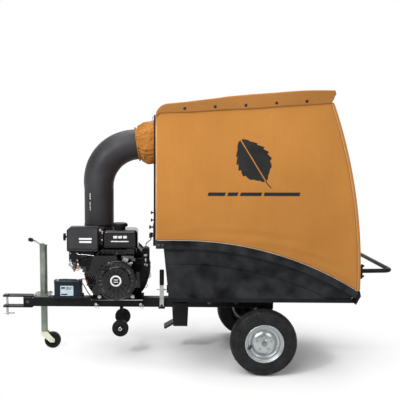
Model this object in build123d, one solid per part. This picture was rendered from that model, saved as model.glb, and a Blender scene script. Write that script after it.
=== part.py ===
"""A tow-behind leaf vacuum: an engine-driven blower on the drawbar of a two-wheeled trailer,
blowing through an elbow chute into a tipping tub with a canvas top.

+X points to the rear, +Z up, and -Y is the side with the engine's pull starter.  Every part is
laid out from the axle, with X = 0 there and Z = 0 on the ground, and moved by AXLE_X when it is
written, so that the origin lies on the ground below the middle of the machine.
"""
from build123d import *
import math
import os

# ---------------------------------------------------------------- driving dimensions (mm)
FRONT_X = -1704          # tip of the hitch clip
REAR_X = 792             # back of the dump handle
AXLE_X = -(FRONT_X + REAR_X) / 2

TYRE_R, TYRE_W = 203.5, 102       # 16 x 4 inch pneumatic tyre
TRACK = 774                       # between the tyres' middle planes
RIM_R = 119                       # flange radius of the 8 inch rim
SPINDLE_R = 9.5

BEAM = 64                         # square drawbar tube
BEAM_Z = 317                      # its underside
BEAM_TOP = BEAM_Z + BEAM
BEAM_FRONT, BEAM_REAR = -1550, 88
PLATE = 6                         # usual plate thickness

JACK_X, JACK_Y = -1428, 66        # tongue jack's axis
JACK_R = 25.4
CASTER_R, CASTER_TRAIL = 56, 56

PIVOT_X, PIVOT_Z = 50, 436        # the tub tips about this line
RAIL = 25                         # square tube of the tub's frame
RAIL_Z = 449
RAIL_Y = 370                      # inner face of a side rail

TUB_Z = RAIL_Z + RAIL             # underside of the tub
TUB_WALL = 6
RIM_FLAT_X, RIM_TOP_Z, RIM_CURVE_R = -500, 830, 1960
RIM_DEPTH = 47
RIM_FRONT, RIM_BACK = -657, 556
RIM_HALF = 440

COVER_HALF = 430                  # outside of the canvas sides
COVER_T = 3
COVER_FRONT = -657
CORNER_R = 75                     # front top corner of the canvas
TOP_START, TOP_MID, TOP_END = (-582, 1635), (-98, 1687), (378, 1708)
BACK_X, BACK_Z, BACK_R = 543, 600, 3000   # rear edge: upright below BACK_Z, then this arc
BACK_TOP_Z = 1655

SHAFT_X, SHAFT_Z = -912, 536      # engine shaft
SCROLL_X, SCROLL_Z, SCROLL_R = -928, 530, 223
SCROLL_Y0, SCROLL_Y1 = 92, 262
SHEET = 3                         # blower housing sheet
OUTLET_X0, OUTLET_X1, OUTLET_Z = -1151, -955, 765

CHUTE_X, CHUTE_Y = -1053, 170
CHUTE_R, CHUTE_WALL = 101.5, 4
BEND_Z, BEND_R, BEND_DEG = 1097, 312, 81
INLET_Y, INLET_Z = 170, 1420      # where the chute enters the canvas

SMALL_R, SMALL_W, SMALL_X, SMALL_Z, SMALL_TRACK = 54, 30, -889, 205, 282     # the power unit's own wheels

HITCH_X, HITCH_R = -1667, 8       # hitch pin
CLIP_Z, CLIP_R = 258, 3.0         # spring clip through the hitch pin
PIN_XS, PIN_Z, PIN_R = (-1057, -758), 341, 6   # pins that hold the power unit on the drawbar
CRANK_KNOB = ((JACK_X - 68, JACK_Y - 42, 760), (JACK_X - 73, JACK_Y - 88, 771))
BATTERY_TOP = 495
CAP_X, CAP_Y = -896, -58          # fuel cap
TANK_LOW, TANK_SEAM, TANK_TOP = 690, 738, 848
THROTTLE_X, CHOKE_X, LEVER_Z = -872, -950, 706
KEY_X, KEY_Z = -725, 640
SPIGOT_R, SPIGOT_END = 101.5, 345   # intake ring on the blower's far side
CHUTE_TAIL, ADAPTER_TOP = 90, 832
LATCH_X, LATCH_Z = -618, 336
PEDAL_X, PEDAL_Z = -527, 218
POST_X, POST_Y = -666, 398        # rods down the front of the canvas
HINGE_X, HINGE_Z = 372, 1668      # rear door's hinge line
HANDLE_Y, HANDLE_Z = 330, 632     # dump handle

# The routes of the two battery leads and of the cable to the interlock plug.
RED_POINTS = [(-1170.4, -42, 502), (-1156, -45, 508), (-1140, -56, 514), (-1122, -74, 514),
              (-1108, -90, 504), (-1106, -96, 487.5)]
BLACK_POINTS = [(-1302.6, -42, 502), (-1284, -44, 508), (-1250, -52, 510), (-1200, -62, 508),
                (-1160, -72, 502), (-1136, -88, 484), (-1118, -98, 454), (-1100, -100, 424),
                (-1084, -98, 406), (-1080, -95, 388.2)]
CABLE_POINTS = [(-725, 12, 716), (-725, 8, 732), (-722, -20, 748), (-714, -60, 762),
                (-700, -90, 776), (-689, -102, 786), (-688, -102, 802)]

parts = {}


# ---------------------------------------------------------------- helpers
def box(x0, x1, y0, y1, z0, z1):
    return Pos((x0 + x1) / 2, (y0 + y1) / 2, (z0 + z1) / 2) * Box(x1 - x0, y1 - y0, z1 - z0)


def rod_x(y, z, r, x0, x1):
    return Pos((x0 + x1) / 2, y, z) * Rot(0, 90, 0) * Cylinder(r, abs(x1 - x0))


def rod_y(x, z, r, y0, y1):
    return Pos(x, (y0 + y1) / 2, z) * Rot(90, 0, 0) * Cylinder(r, abs(y1 - y0))


def rod_z(x, y, r, z0, z1):
    return Pos(x, y, (z0 + z1) / 2) * Cylinder(r, abs(z1 - z0))


def rod(a, b, r):
    """A round bar from point a to point b."""
    a, b = Vector(*a), Vector(*b)
    plane = Plane(origin=a, z_dir=b - a)
    return extrude(plane * Circle(r), (b - a).length)


def slab(edges, y0, y1):
    """A side outline, given as edges in (x, z), made into a plate from y0 to y1."""
    face = make_face(Plane.XZ * edges)
    return Pos(0, y0, 0) * extrude(face, y1 - y0, dir=(0, 1, 0))


def outline(*points):
    return Polyline(*points, close=True)


def spun(points, x, y, z):
    """A profile of (radius, y) points turned about the Y line through (x, y, z)."""
    face = make_face(Polyline(*[(r, across) for r, across in points], close=True))
    return Pos(x, y, z) * revolve(face, Axis.Y)


def bent(points, radius, bends):
    """A round tube or wire along straight runs joined by arcs of the given radii."""
    path = FilletPolyline(*points, radius=bends)
    plane = Plane(origin=path @ 0, z_dir=path % 0)
    return sweep(plane * Circle(radius), path=path)


def cord(points, radius):
    """A hanging cord: each corner's arc is as large as the two runs beside it allow."""
    runs = [Vector(*b) - Vector(*a) for a, b in zip(points, points[1:])]
    bends = []
    for first, second in zip(runs, runs[1:]):
        half_turn = math.radians(first.get_angle(second) / 2)
        bends.append(0.45 * min(first.length, second.length) / math.tan(half_turn))
    print("cord of", round(sum(run.length for run in runs)), "mm, radii", [round(bend) for bend in bends])
    return bent(points, radius, bends)


def ring_of(make, count, x, z, start=0.0):
    """Copies of make() turned about the Y line through (x, z)."""
    spin = Pos(x, 0, z)
    return [spin * Rot(0, start + i * 360 / count, 0) * make() for i in range(count)]


def add(name, *solids):
    """Put solids into a node.  A second call with the same name adds to the group."""
    parts.setdefault(name, []).extend(solids)


def rounded(shape, axis, radius):
    """The shape with its edges along one axis filleted."""
    return fillet(shape.edges().filter_by(axis), radius)


# ---------------------------------------------------------------- drawbar, hitch and jack
def drawbar():
    beam = box(BEAM_FRONT, BEAM_REAR, -BEAM / 2, BEAM / 2, BEAM_Z, BEAM_TOP)
    beam = rounded(beam, Axis.X, 6)
    wall = 4
    beam -= box(BEAM_FRONT - 1, BEAM_REAR + 1, -BEAM / 2 + wall, BEAM / 2 - wall,
                BEAM_Z + wall, BEAM_TOP - wall)
    for x in PIN_XS:
        beam -= rod_y(x, PIN_Z, PIN_R + 0.5, -BEAM, BEAM)
    add("drawbar", beam)

    plates = []
    for z0 in (BEAM_Z - 8, BEAM_TOP):
        plate = rounded(box(-1692, -1488, -32, 32, z0, z0 + 8), Axis.Z, 14)
        plates.append(plate - rod_z(HITCH_X, 0, HITCH_R + 0.5, z0 - 1, z0 + 9))
    add("hitch_plates", *plates)
    add("drawbar", *[rounded(box(x0, x1, -26, 26, BEAM_Z + 6, BEAM_TOP - 6), Axis.X, 4)
                       for x0, x1 in ((BEAM_FRONT + 1, BEAM_FRONT + 13), (BEAM_REAR - 13, BEAM_REAR - 1))])

    pin = rod_z(HITCH_X, 0, HITCH_R, 250, BEAM_TOP + 9)
    pin += rod_z(HITCH_X, 0, 14, BEAM_TOP + 9, BEAM_TOP + 16)
    pin -= rod_x(0, CLIP_Z, CLIP_R + 0.3, HITCH_X - 20, HITCH_X + 20)
    add("hitch_pin", pin)
    straight = rod_x(0, CLIP_Z, CLIP_R, FRONT_X, -1636)
    loop = bent([(-1640, 0, CLIP_Z), (-1622, 0, CLIP_Z), (-1622, 22, CLIP_Z), (-1650, 22, CLIP_Z),
                 (-1664, 13, CLIP_Z), (-1684, 13, CLIP_Z)], CLIP_R, [10.5, 10.5, 9, 9])
    add("hitch_pin", straight + loop)


def jack():
    z_top, z_low, wall = 716, 300, 2.6
    outer = rod_z(JACK_X, JACK_Y, JACK_R, z_low, z_top)
    outer -= rod_z(JACK_X, JACK_Y, JACK_R - wall, z_low - 1, z_top + 1)
    add("jack_outer_tube", outer)
    flange = rounded(box(JACK_X - 57, JACK_X + 57, -30, 108, BEAM_TOP, BEAM_TOP + PLATE), Axis.Z, 22)
    flange -= rod_z(JACK_X, JACK_Y, JACK_R + 0.05, BEAM_TOP - 1, BEAM_TOP + 9)
    sleeve = rod_z(JACK_X, JACK_Y, JACK_R + 6, 312, BEAM_TOP)
    sleeve -= rod_z(JACK_X, JACK_Y, JACK_R + 0.05, 311, BEAM_TOP + 1)
    sleeve -= box(JACK_X - 60, JACK_X + 60, 0, BEAM / 2, 300, 400)
    add("jack_outer_tube", flange + sleeve)
    bolts = [rod_z(JACK_X + dx, -16, 5, BEAM_TOP + PLATE, BEAM_TOP + PLATE + 7) for dx in (-40, 40)]
    bolts += [rod_z(JACK_X + 40, 92, 5, BEAM_TOP + PLATE, BEAM_TOP + PLATE + 7)]
    add("jack_outer_tube", *bolts)

    inner_r, head_z = JACK_R - wall - 0.3, 119
    inner = rod_z(JACK_X, JACK_Y, inner_r, head_z, 520)
    inner -= rod_z(JACK_X, JACK_Y, inner_r - 2.5, head_z + 8, 521)
    nut = rod_z(JACK_X, JACK_Y, inner_r - 2.5, 505, 520) - rod_z(JACK_X, JACK_Y, 8.1, 504, 521)
    stem = rod_z(JACK_X, JACK_Y, 8, 104, head_z)
    add("jack_inner_tube", inner + nut + stem)

    cap = rod_z(JACK_X, JACK_Y, JACK_R + 2, z_top, z_top + 6)
    cap -= rod_z(JACK_X, JACK_Y, 8.1, z_top - 1, z_top + 7)
    add("jack_outer_tube", cap)
    screw = rod_z(JACK_X, JACK_Y, 8, 330, z_top + 14)
    arm = bent([(JACK_X, JACK_Y, z_top + 12), (JACK_X - 22, JACK_Y, z_top + 12),
                (JACK_X - 62, JACK_Y, z_top + 34), (JACK_X - 66, JACK_Y - 34, z_top + 42)], 5, [12, 12])
    add("jack_crank", screw + arm)
    knob_a, knob_b = CRANK_KNOB
    grip = rod(knob_a, knob_b, 13)
    grip = fillet(grip.edges(), 5)
    add("jack_crank", grip)


def caster():
    x, y = JACK_X + CASTER_TRAIL, JACK_Y
    top = rod_z(JACK_X, y, 24, 104, 118.5) - rod_z(JACK_X, y, 8.05, 103, 120)
    cheeks = []
    for side in (-1, 1):
        cheek = slab(outline((JACK_X - 22, 118), (JACK_X + 22, 118), (x + 18, CASTER_R + 9),
                             (x + 15, CASTER_R - 13),
                             (x - 13, CASTER_R - 13), (JACK_X - 21,
                                                       96)), y + side * 22 - 2, y + side * 22 + 2)
        cheeks.append(rounded(cheek, Axis.Y, 6) - rod_y(x, CASTER_R, 5.05, y - 40, y + 40))
    add("caster_fork", top + cheeks[0] + cheeks[1])
    bolt = rod_y(x, CASTER_R, 5, y - 28, y + 28) + rod_y(x, CASTER_R, 9, y - 32, y - 25)
    bolt += rod_y(x, CASTER_R, 9, y + 25, y + 32)
    add("caster_fork", bolt)
    tread = [(36, -16), (CASTER_R - 6, -17), (CASTER_R, -11), (CASTER_R, 11), (CASTER_R - 6, 17), (36, 16)]
    add("caster_wheel", spun(tread, x, y, CASTER_R))
    hub = [(5.08, -19), (12, -19), (14, -8), (36, -10), (36, 10), (14, 8), (12, 19), (5.08, 19)]
    add("caster_wheel", spun(hub, x, y, CASTER_R))


# ---------------------------------------------------------------- battery
def battery():
    add("battery", rounded(box(-1346, -1146, -64, 24, BEAM_TOP, BEAM_TOP + 3), Axis.Z, 6)
        + box(-1346, -1146, -64, -61, BEAM_TOP + 3, BEAM_TOP + 18) + box(-1346, -1146, 21, 24,
                BEAM_TOP + 3, BEAM_TOP + 18))
    low, top = BEAM_TOP + 3, BATTERY_TOP
    case = rounded(box(-1335, -1157, -60, 20, low, top - 14), Axis.Z, 5)
    lid = rounded(box(-1337, -1155, -60.9, 20.9, top - 14, top), Axis.Z, 5)
    add("battery", case + lid)
    posts = [box(x - 8, x + 8, -48, -36, top, top + 12) for x in (-1312, -1180)]
    add("battery", *posts)
    strap = box(-1340, -1338, -30, -10, low, top + 2) + box(-1340, -1152, -30, -10, top,
                                                            top + 2) + box(-1154, -1152, -30, -10, low, top + 2)
    add("battery", strap)
    red, black = cord(RED_POINTS, 3), cord(BLACK_POINTS, 3)
    add("battery_lead_red", red)
    add("battery_lead_black", black)


# ---------------------------------------------------------------- power unit
def base():
    x0, x1 = -1085, -738
    plate = rounded(box(x0, x1, -105, 88, BEAM_TOP, BEAM_TOP + PLATE), Axis.Z, 10)
    for side in (-1, 1):
        y0, y1 = sorted((side * 34, side * 39))
        flange = box(x0, x1, y0, y1, 322, BEAM_TOP)
        for x in PIN_XS:
            flange -= rod_y(x, PIN_Z, PIN_R + 0.5, -60, 60)
        plate += flange
    add("engine_base", plate)
    for x in PIN_XS:
        pin = rod_y(x, PIN_Z, PIN_R, -52, 50) + rod_y(x, PIN_Z, 10, -58, -52)
        loop = Pos(x + 8, -61, PIN_Z - 13) * Rot(90, 0, 0) * Torus(13, 1.8)
        add("engine_base", pin, loop)

    legs = [box(SMALL_X - 9, SMALL_X + 9, y0, y0 + 5, SMALL_Z - 14, 322)
            - rod_y(SMALL_X, SMALL_Z, 6.05, -100, 100) for y0 in (-44.5, 39.5)]
    tops = [box(SMALL_X - 26, SMALL_X + 26, y0, y0 + 5, 322, 366) for y0 in (-44.5, 39.5)]
    add("unit_axle", legs[0] + tops[0], legs[1] + tops[1])
    half = SMALL_TRACK / 2
    shaft = rod_y(SMALL_X, SMALL_Z, 6, -half - 24, half + 24)
    add("unit_axle", shaft)
    washers = [rod_y(SMALL_X, SMALL_Z, 15, side * (half + 17), side * (half + 20))
               - rod_y(SMALL_X, SMALL_Z, 6.02, side * (half + 16), side * (half + 21)) for side in (-1, 1)]
    add("unit_axle", *washers)
    for label, side in (("near", -1), ("far", 1)):
        tyre = [(34, -13), (SMALL_R - 5, -15), (SMALL_R, -9), (SMALL_R, 9), (SMALL_R - 5, 15), (34, 13)]
        hub = [(6.08, -16), (14, -16), (16, -9), (34, -11), (34, 11), (16, 9), (14, 16), (6.08, 16)]
        add(f"unit_wheel_{label}", spun(tyre, SMALL_X, side * half, SMALL_Z),
            spun(hub, SMALL_X, side * half, SMALL_Z))


def engine():
    floor = BEAM_TOP + PLATE
    case = rounded(box(-1000, -818, -105, 66, floor + 10, 648), Axis.Y, 22)
    case += box(-1012, -806, -92, 62, floor, floor + 10)
    case += rod_y(SHAFT_X, SHAFT_Z, 58, 66, SCROLL_Y0 - 0.2)
    case -= rod_y(SHAFT_X, SHAFT_Z, 15.05, -110, 100)
    add("crankcase", case)

    # The cylinder leans 25 degrees above the horizontal, towards the front.
    lean = Pos(-1000, -18, 560) * Rot(0, 25, 0)
    core = lean * Pos(-60, 0, 0) * Box(120, 96, 100)
    fins = [lean * Pos(-22 - 13 * i, 0, 0) * Box(4, 132, 138) for i in range(8)]
    trim = box(-1000.2, -780, -140, 100, 380, 720)
    block = core
    for fin in fins:
        block += fin
    add("cylinder", block - trim)
    head = lean * Pos(-127.5, 0, 0) * rounded(Box(14, 118, 120), Axis.X, 16)
    head += lean * Pos(-146, 0, 0) * rounded(Box(24, 92, 96), Axis.X, 14)
    add("cylinder", head)
    plug_at = lean * Pos(-158, 12, -24) * Rot(0, -90, 0)
    add("cylinder", plug_at * Pos(0, 0, 10) * Cylinder(8, 20) + plug_at * Pos(0, 0, 27) * Cylinder(11, 16))

    shroud = rod_y(SHAFT_X, SHAFT_Z - 4, 129, -190, -106)
    duct = slab(outline((-1096, 566), (-1060, 690), (-905, 690), (-905, 566)), -176, -106)
    shroud = fillet((shroud + rounded(duct, Axis.Y, 16)).edges().filter_by(
        lambda e: abs(e.center().Y + 190) < 0.5), 10)
    hollow = rod_y(SHAFT_X, SHAFT_Z - 4, 126, -186, -105)
    hollow += slab(outline((-1091, 570), (-1058, 686), (-909, 686), (-909, 570)), -172, -105)
    shroud -= hollow
    shroud -= rod_y(SHAFT_X, SHAFT_Z, 70, -195, -180)
    add("fan_shroud", shroud)

    cover = rod_y(SHAFT_X, SHAFT_Z, 92, -208, -190.2)
    cover = fillet(cover.edges().filter_by(lambda e: abs(e.center().Y + 208) < 0.5), 12)
    cover += rod_y(SHAFT_X, SHAFT_Z, 44, -214, -207)
    cover -= rod_y(SHAFT_X, SHAFT_Z, 84, -203, -189)
    for slot in ring_of(lambda: box(50, 76, -220, -196, -4, 4), 14, SHAFT_X, SHAFT_Z):
        cover -= slot
    add("recoil_cover", cover)
    add("recoil_cover", rod_y(SHAFT_X, SHAFT_Z, 35, -218, -214))
    grip = rounded(box(-1012, -958, -226, -206, 604, 622), Axis.X, 7)
    add("recoil_grip", grip + rod_y(-985, 613, 3, -206, -190.5))

    shaft = rod_y(SHAFT_X, SHAFT_Z, 15, -176, 188)
    wheel = rod_y(SHAFT_X, SHAFT_Z, 104, -160, -118) + rod_y(SHAFT_X, SHAFT_Z, 30, -176, -112)
    for vane in ring_of(lambda: box(52, 102, -174, -158, -2, 2), 16, SHAFT_X, SHAFT_Z, 6):
        wheel += vane
    add("crankshaft", shaft + rod_y(SHAFT_X, SHAFT_Z, 30, -112, -106))
    add("crankshaft", wheel - rod_y(SHAFT_X, SHAFT_Z, 15, -190, -100) - rod_y(SHAFT_X, SHAFT_Z, 30.01,
            -112, -100))


def engine_top():
    tank = rounded(box(-1000, -776, -120, 62, TANK_SEAM - 14, TANK_TOP), Axis.Y, 24)
    tank = rounded(tank, Axis.Z, 22) + rounded(box(-988, -788, -106, 50, TANK_LOW, TANK_SEAM), Axis.Z, 16)
    hollow = rounded(box(-997, -779, -117, 59, TANK_SEAM - 11, TANK_TOP - 3), Axis.Y, 21)
    tank -= rounded(hollow, Axis.Z, 19) + rounded(box(-985, -791, -103, 47, TANK_LOW + 3, TANK_SEAM),
                                                  Axis.Z, 13)
    seam = rounded(box(-1004, -772, -124, 66, TANK_SEAM - 2, TANK_SEAM + 2), Axis.Z, 24)
    tank += seam - box(-998, -778, -118, 60, TANK_SEAM - 10, TANK_SEAM + 10)
    neck_hole = rod_z(CAP_X, CAP_Y, 22, TANK_TOP - 16, TANK_TOP + 20)
    tank = tank - neck_hole + (rod_z(CAP_X, CAP_Y, 26, TANK_TOP - 3, TANK_TOP + 8) - neck_hole)
    add("fuel_tank", tank)
    stays = [box(x, x + 6, -88, 44, 648, TANK_LOW) for x in (-980, -830)]
    add("fuel_tank", *stays)
    cap = rod_z(CAP_X, CAP_Y, 38, TANK_TOP + 0.6, TANK_TOP + 19)
    cap -= rod_z(CAP_X, CAP_Y, 27, TANK_TOP, TANK_TOP + 9)
    head = rod_z(CAP_X, CAP_Y, 50, TANK_TOP + 19, TANK_TOP + 41)
    head = fillet(head.edges().group_by(Axis.Z)[-1], 6)
    for i in range(16):
        head += Pos(CAP_X, CAP_Y, 0) * Rot(0, 0, i * 22.5) * box(46, 52.5, -4, 4, TANK_TOP + 20, TANK_TOP + 35)
    add("fuel_cap", cap + head)

    outline_ = outline((-1240, 706), (-1240, 846), (-1216, 868), (-1034, 868), (-1034, 706))
    cover = rounded(slab(outline_, -112, -44), Axis.Y, 7)
    cover = fillet(cover.edges().group_by(Axis.Y)[0], 6)
    rear = rounded(box(-1230, -1040, -43.6, -20, 696, 852), Axis.Y, 8)
    cover -= box(-1236, -1038, -107, -43, 710, 850) - box(-1250, -1216, -108, -43, 830, 860)
    add("air_cleaner_cover", cover)
    add("air_cleaner_base", rear)
    add("air_cleaner_base", rod_y(-1135, 782, 52, -100, -44) - rod_y(-1135, 782, 34, -101, -43))
    knob = rod_x(-78, 798, 6, -1252, -1240.5)
    for wing in range(4):
        knob += Pos(-1258, -78, 798) * Rot(wing * 45, 0, 0) * Box(13, 48, 12)
    add("air_cleaner_knob", knob)

    can = rounded(box(-1216, -1012, -16, 60, 716, 842), Axis.X, 24)
    can += box(-1130, -1100, 0, 36, 673, 718)
    add("muffler", can)
    guard = rounded(box(-1222, -1006, -17.5, 62.5, 842.5, 846), Axis.Z, 12)
    for i in range(9):
        guard -= box(-1200 + i * 22, -1190 + i * 22, -4, 50, 840, 850)
    add("muffler", guard)

    carb = box(-1225, -1161, -118, -80, 640, 705.8) + rod_z(-1193, -99, 18, 608, 640)
    carb += rod_x(-99, 668, 14, -1161, -1108)
    add("carburetor", carb)
    panel = box(-1010, -850, -130, -126, 693, 722) + box(-1010, -850, -126, -106.1, 693, 697)
    add("fuel_tank", panel)
    for name, x, length in (("throttle_lever", THROTTLE_X, 50), ("choke_lever", CHOKE_X, 44)):
        lever = rod_y(x, LEVER_Z, 8, -136, -130.4) + box(x - length, x, -134.4, -131.4, LEVER_Z - 5,
                                                         LEVER_Z + 5)
        lever += box(x - length - 10, x - length + 6, -146, -131.4, LEVER_Z - 8, LEVER_Z + 8)
        add(name, lever)

    case = box(-750, -700, -25, 58, 562, 716)
    case = fillet(case.edges().filter_by(Axis.Y).group_by(Axis.Z)[-1], 18)
    case -= rod_y(KEY_X, KEY_Z, 7, -26, -15)
    case += box(-818, -749, 0, 40, 600, 640) + box(-740, -710, 4, 36, 520, 563)
    add("switch_box", case)
    key = rod_y(KEY_X, KEY_Z, 6.6, -27, -15.5) + box(KEY_X - 3, KEY_X + 3, -50, -27, KEY_Z - 12, KEY_Z + 12)
    add("ignition_key", key)
    starter = rod_y(-1050, 440, 32, -80, 40) + rod_y(-1058, 486, 15, -84, 20)
    starter += box(-1062, -1050, -60, 10, 460, 480)
    starter += box(-1112, -1050, -104, -84, 478, 486) + box(-1030, -1000.2, -70, 20, 430, 460)
    add("starter_motor", starter)


# ---------------------------------------------------------------- blower and chute
def blower():
    y0, y1 = SCROLL_Y0, SCROLL_Y1
    outer = rod_y(SCROLL_X, SCROLL_Z, SCROLL_R, y0, y1)
    outer += box(OUTLET_X0, OUTLET_X1, y0, y1, SCROLL_Z, OUTLET_Z)
    r = SCROLL_R - SHEET
    hollow = rod_y(SCROLL_X, SCROLL_Z, r, y0 + SHEET, y1 + 1)
    hollow += box(OUTLET_X0 + SHEET, OUTLET_X1 - SHEET, y0 + SHEET, y1 + 1, SCROLL_Z, OUTLET_Z + 1)
    shell = outer - hollow - rod_y(SHAFT_X, SHAFT_Z, 31, y0 - 1, y0 + 5)
    add("blower_housing", shell)
    rim = rod_y(SCROLL_X, SCROLL_Z, SCROLL_R + 9, y1 + 0.2, y1 + 3)
    rim += box(OUTLET_X0 - 9, OUTLET_X1 + 9, y1 + 0.2, y1 + 3, SCROLL_Z, OUTLET_Z - 2)
    rim -= rod_y(SHAFT_X, SHAFT_Z, SPIGOT_R - 3, y1 - 1, y1 + 5)
    add("blower_housing", rim)
    tube = rod_y(SHAFT_X, SHAFT_Z, SPIGOT_R, y1 + 3, SPIGOT_END)
    tube += rod_y(SHAFT_X, SHAFT_Z, SPIGOT_R + 22, y1 + 3, y1 + 7)
    tube -= rod_y(SHAFT_X, SHAFT_Z, SPIGOT_R - 3, y1, SPIGOT_END + 1)
    add("intake_spigot", tube)
    add("intake_spigot", *ring_of(lambda: rod_y(SPIGOT_R + 12, 0, 5, y1 + 7, y1 + 12), 6, SHAFT_X,
                                  SHAFT_Z, 15))

    disc = rod_y(SHAFT_X, SHAFT_Z, 165, 108, 114) + rod_y(SHAFT_X, SHAFT_Z, 34, 100, 192)
    for blade in ring_of(lambda: box(26, 162, 112, 228, -3, 3) - Pos(30, 228, 0) * Rot(0, 0, 42) * Box(150, 60,
            20),
                         6, SHAFT_X, SHAFT_Z):
        disc += blade
    add("impeller", disc - rod_y(SHAFT_X, SHAFT_Z, 15, 90, 188))
    add("impeller", rod_y(SHAFT_X, SHAFT_Z, 12, 192, 204))


def chute_section(deg):
    """Centre, direction and radius of the chute's bend at an angle, fuller in the middle."""
    a, swell = math.radians(deg), math.sin(math.pi * deg / BEND_DEG)
    reach = BEND_R + 16 * swell
    centre = (CHUTE_X + BEND_R - reach * math.cos(a), CHUTE_Y, BEND_Z + reach * math.sin(a))
    return centre, (math.sin(a), 0, math.cos(a)), CHUTE_R + 8 * swell + 2 * deg / BEND_DEG


def chute_solid(shrink):
    rings = []
    for i in range(7):
        centre, direction, radius = chute_section(BEND_DEG * i / 6)
        plane = Plane(origin=centre, x_dir=(0, 1, 0), z_dir=direction)
        rings.append(plane * Circle(radius - shrink))
    solid = loft(rings)
    solid += rod_z(CHUTE_X, CHUTE_Y, CHUTE_R - shrink, ADAPTER_TOP - (1 if shrink else 0), BEND_Z)
    centre, direction, radius = chute_section(BEND_DEG)
    tip = Vector(*centre) + Vector(*direction) * (CHUTE_TAIL + (1 if shrink else 0))
    return solid + rod(centre, tuple(tip), radius - shrink)


def chute():
    add("chute", chute_solid(0) - chute_solid(CHUTE_WALL))
    mid_x, mid_y = (OUTLET_X0 + OUTLET_X1) / 2, (SCROLL_Y0 + SCROLL_Y1) / 2
    wide, deep = OUTLET_X1 - OUTLET_X0, SCROLL_Y1 - SCROLL_Y0

    def funnel(shrink, z0, z1):
        low = Pos(mid_x, mid_y, z0) * Rectangle(wide - 2 * shrink, deep - 2 * shrink)
        high = Pos(CHUTE_X, CHUTE_Y, z1) * Circle(CHUTE_R - 0.2 - shrink)
        return loft([low, high])
    flange = box(OUTLET_X0 - 10, OUTLET_X1 + 10, SCROLL_Y0 - 9, SCROLL_Y1 + 9, OUTLET_Z + 0.2, OUTLET_Z + 5)
    shape = funnel(0, OUTLET_Z + 5, ADAPTER_TOP - 0.2) + flange
    shape -= funnel(SHEET, OUTLET_Z + 5, ADAPTER_TOP - 0.2)
    shape -= box(OUTLET_X0 + SHEET, OUTLET_X1 - SHEET, SCROLL_Y0 + SHEET, SCROLL_Y1 - SHEET, OUTLET_Z - 1,
                 OUTLET_Z + 5.01)
    add("chute_adapter", shape)
    band = rod_z(CHUTE_X, CHUTE_Y, CHUTE_R + 2.5, ADAPTER_TOP + 12, ADAPTER_TOP + 26)
    band -= rod_z(CHUTE_X, CHUTE_Y, CHUTE_R + 0.05, ADAPTER_TOP + 11, ADAPTER_TOP + 27)
    band += box(CHUTE_X + 20, CHUTE_X + 44, CHUTE_Y + CHUTE_R - 4, CHUTE_Y + CHUTE_R + 14,
                ADAPTER_TOP + 12, ADAPTER_TOP + 26) \
        - rod_z(CHUTE_X, CHUTE_Y, CHUTE_R + 0.05, ADAPTER_TOP + 11, ADAPTER_TOP + 27)
    add("chute_adapter", band)


# ---------------------------------------------------------------- chassis and wheels
def chassis():
    cross = box(25, 75, -290, 290, BEAM_TOP, BEAM_TOP + 50)
    cross -= box(29, 71, -291, 291, BEAM_TOP + 4, BEAM_TOP + 46)
    add("chassis_frame", cross)
    plates = []
    for side in (-1, 1):
        y0, y1 = sorted((side * 290, side * 298))
        plate = slab(outline((-46, 180), (46, 180), (62, 400), (62, PIVOT_Z), (38, PIVOT_Z), (-20, 400)),
                     y0, y1)
        plate += rod_y(PIVOT_X, PIVOT_Z, 12, y0, y1)
        plates.append(plate - rod_y(0, TYRE_R, SPINDLE_R + 0.05, y0 - 1, y1 + 1)
                      - rod_y(PIVOT_X, PIVOT_Z, 8.05, y0 - 1, y1 + 1))
    add("chassis_frame", *plates)
    sleeve = box(-19, 19, -290, 290, TYRE_R - 19, TYRE_R + 19)
    sleeve -= box(-15, 15, -291, 291, TYRE_R - 15, TYRE_R + 15)
    add("chassis_frame", sleeve)
    add("axle_shaft", rod_y(0, TYRE_R, SPINDLE_R, -446, 446))
    nuts = []
    for side in (-1, 1):
        washer = rod_y(0, TYRE_R, 17, side * 427, side * 430)
        nut = Pos(0, side * 436, TYRE_R) * Rot(90, 0, 0) * extrude(RegularPolygon(15, 6), 6, both=True)
        hole = rod_y(0, TYRE_R, SPINDLE_R, side * 420, side * 446)
        nuts += [(washer + nut) - hole]
    add("axle_shaft", *nuts)
    rest = box(-574, -540, -30, 30, BEAM_TOP, RAIL_Z - 8)
    add("chassis_frame", rest)
    add("chassis_frame", box(-572, -542, -28, 28, RAIL_Z - 8, RAIL_Z - 0.4))
    brace = slab(outline((-300, BEAM_TOP), (-300, BEAM_TOP + 30), (-250, BEAM_TOP + 30),
                         (25, BEAM_TOP + 50), (25, BEAM_TOP)), -20, 20)
    add("chassis_frame", brace)


def wheels():
    for label, side in (("near", -1), ("far", 1)):
        y = side * TRACK / 2
        section = [(101.3, -42), (119.5, -42.5), (130, -46), (150, -50), (178, -51), (194, -46), (201, -38),
                   (TYRE_R, -20), (TYRE_R, 20), (201, 38), (194, 46), (178, 51), (150, 50), (130, 46),
                   (119.5, 42.5), (101.3, 42), (101.3, 32), (119, 34), (150, 43), (178, 44), (190, 36),
                   (195, 16), (195, -16), (190, -36), (178, -44), (150, -43), (119, -34), (101.3, -32)]
        add(f"road_wheel_{label}", spun(section, 0, y, TYRE_R))
        disc = [(SPINDLE_R + 0.08, -40), (26, -40), (26, -4), (62, -2), (76, 12), (97, 14), (97, -40),
                (106, -46),
                (RIM_R, -46), (RIM_R, -43.2), (101, -43.2), (101, 43.2), (RIM_R, 43.2), (RIM_R, 46), (106, 46),
                (97, 40), (97, 22), (74, 20), (58, 6), (26, 4), (26, 40), (SPINDLE_R + 0.08, 40)]
        shape = spun([(r, side * across) for r, across in disc], 0, y, TYRE_R)
        add(f"road_wheel_{label}", shape)


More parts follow.
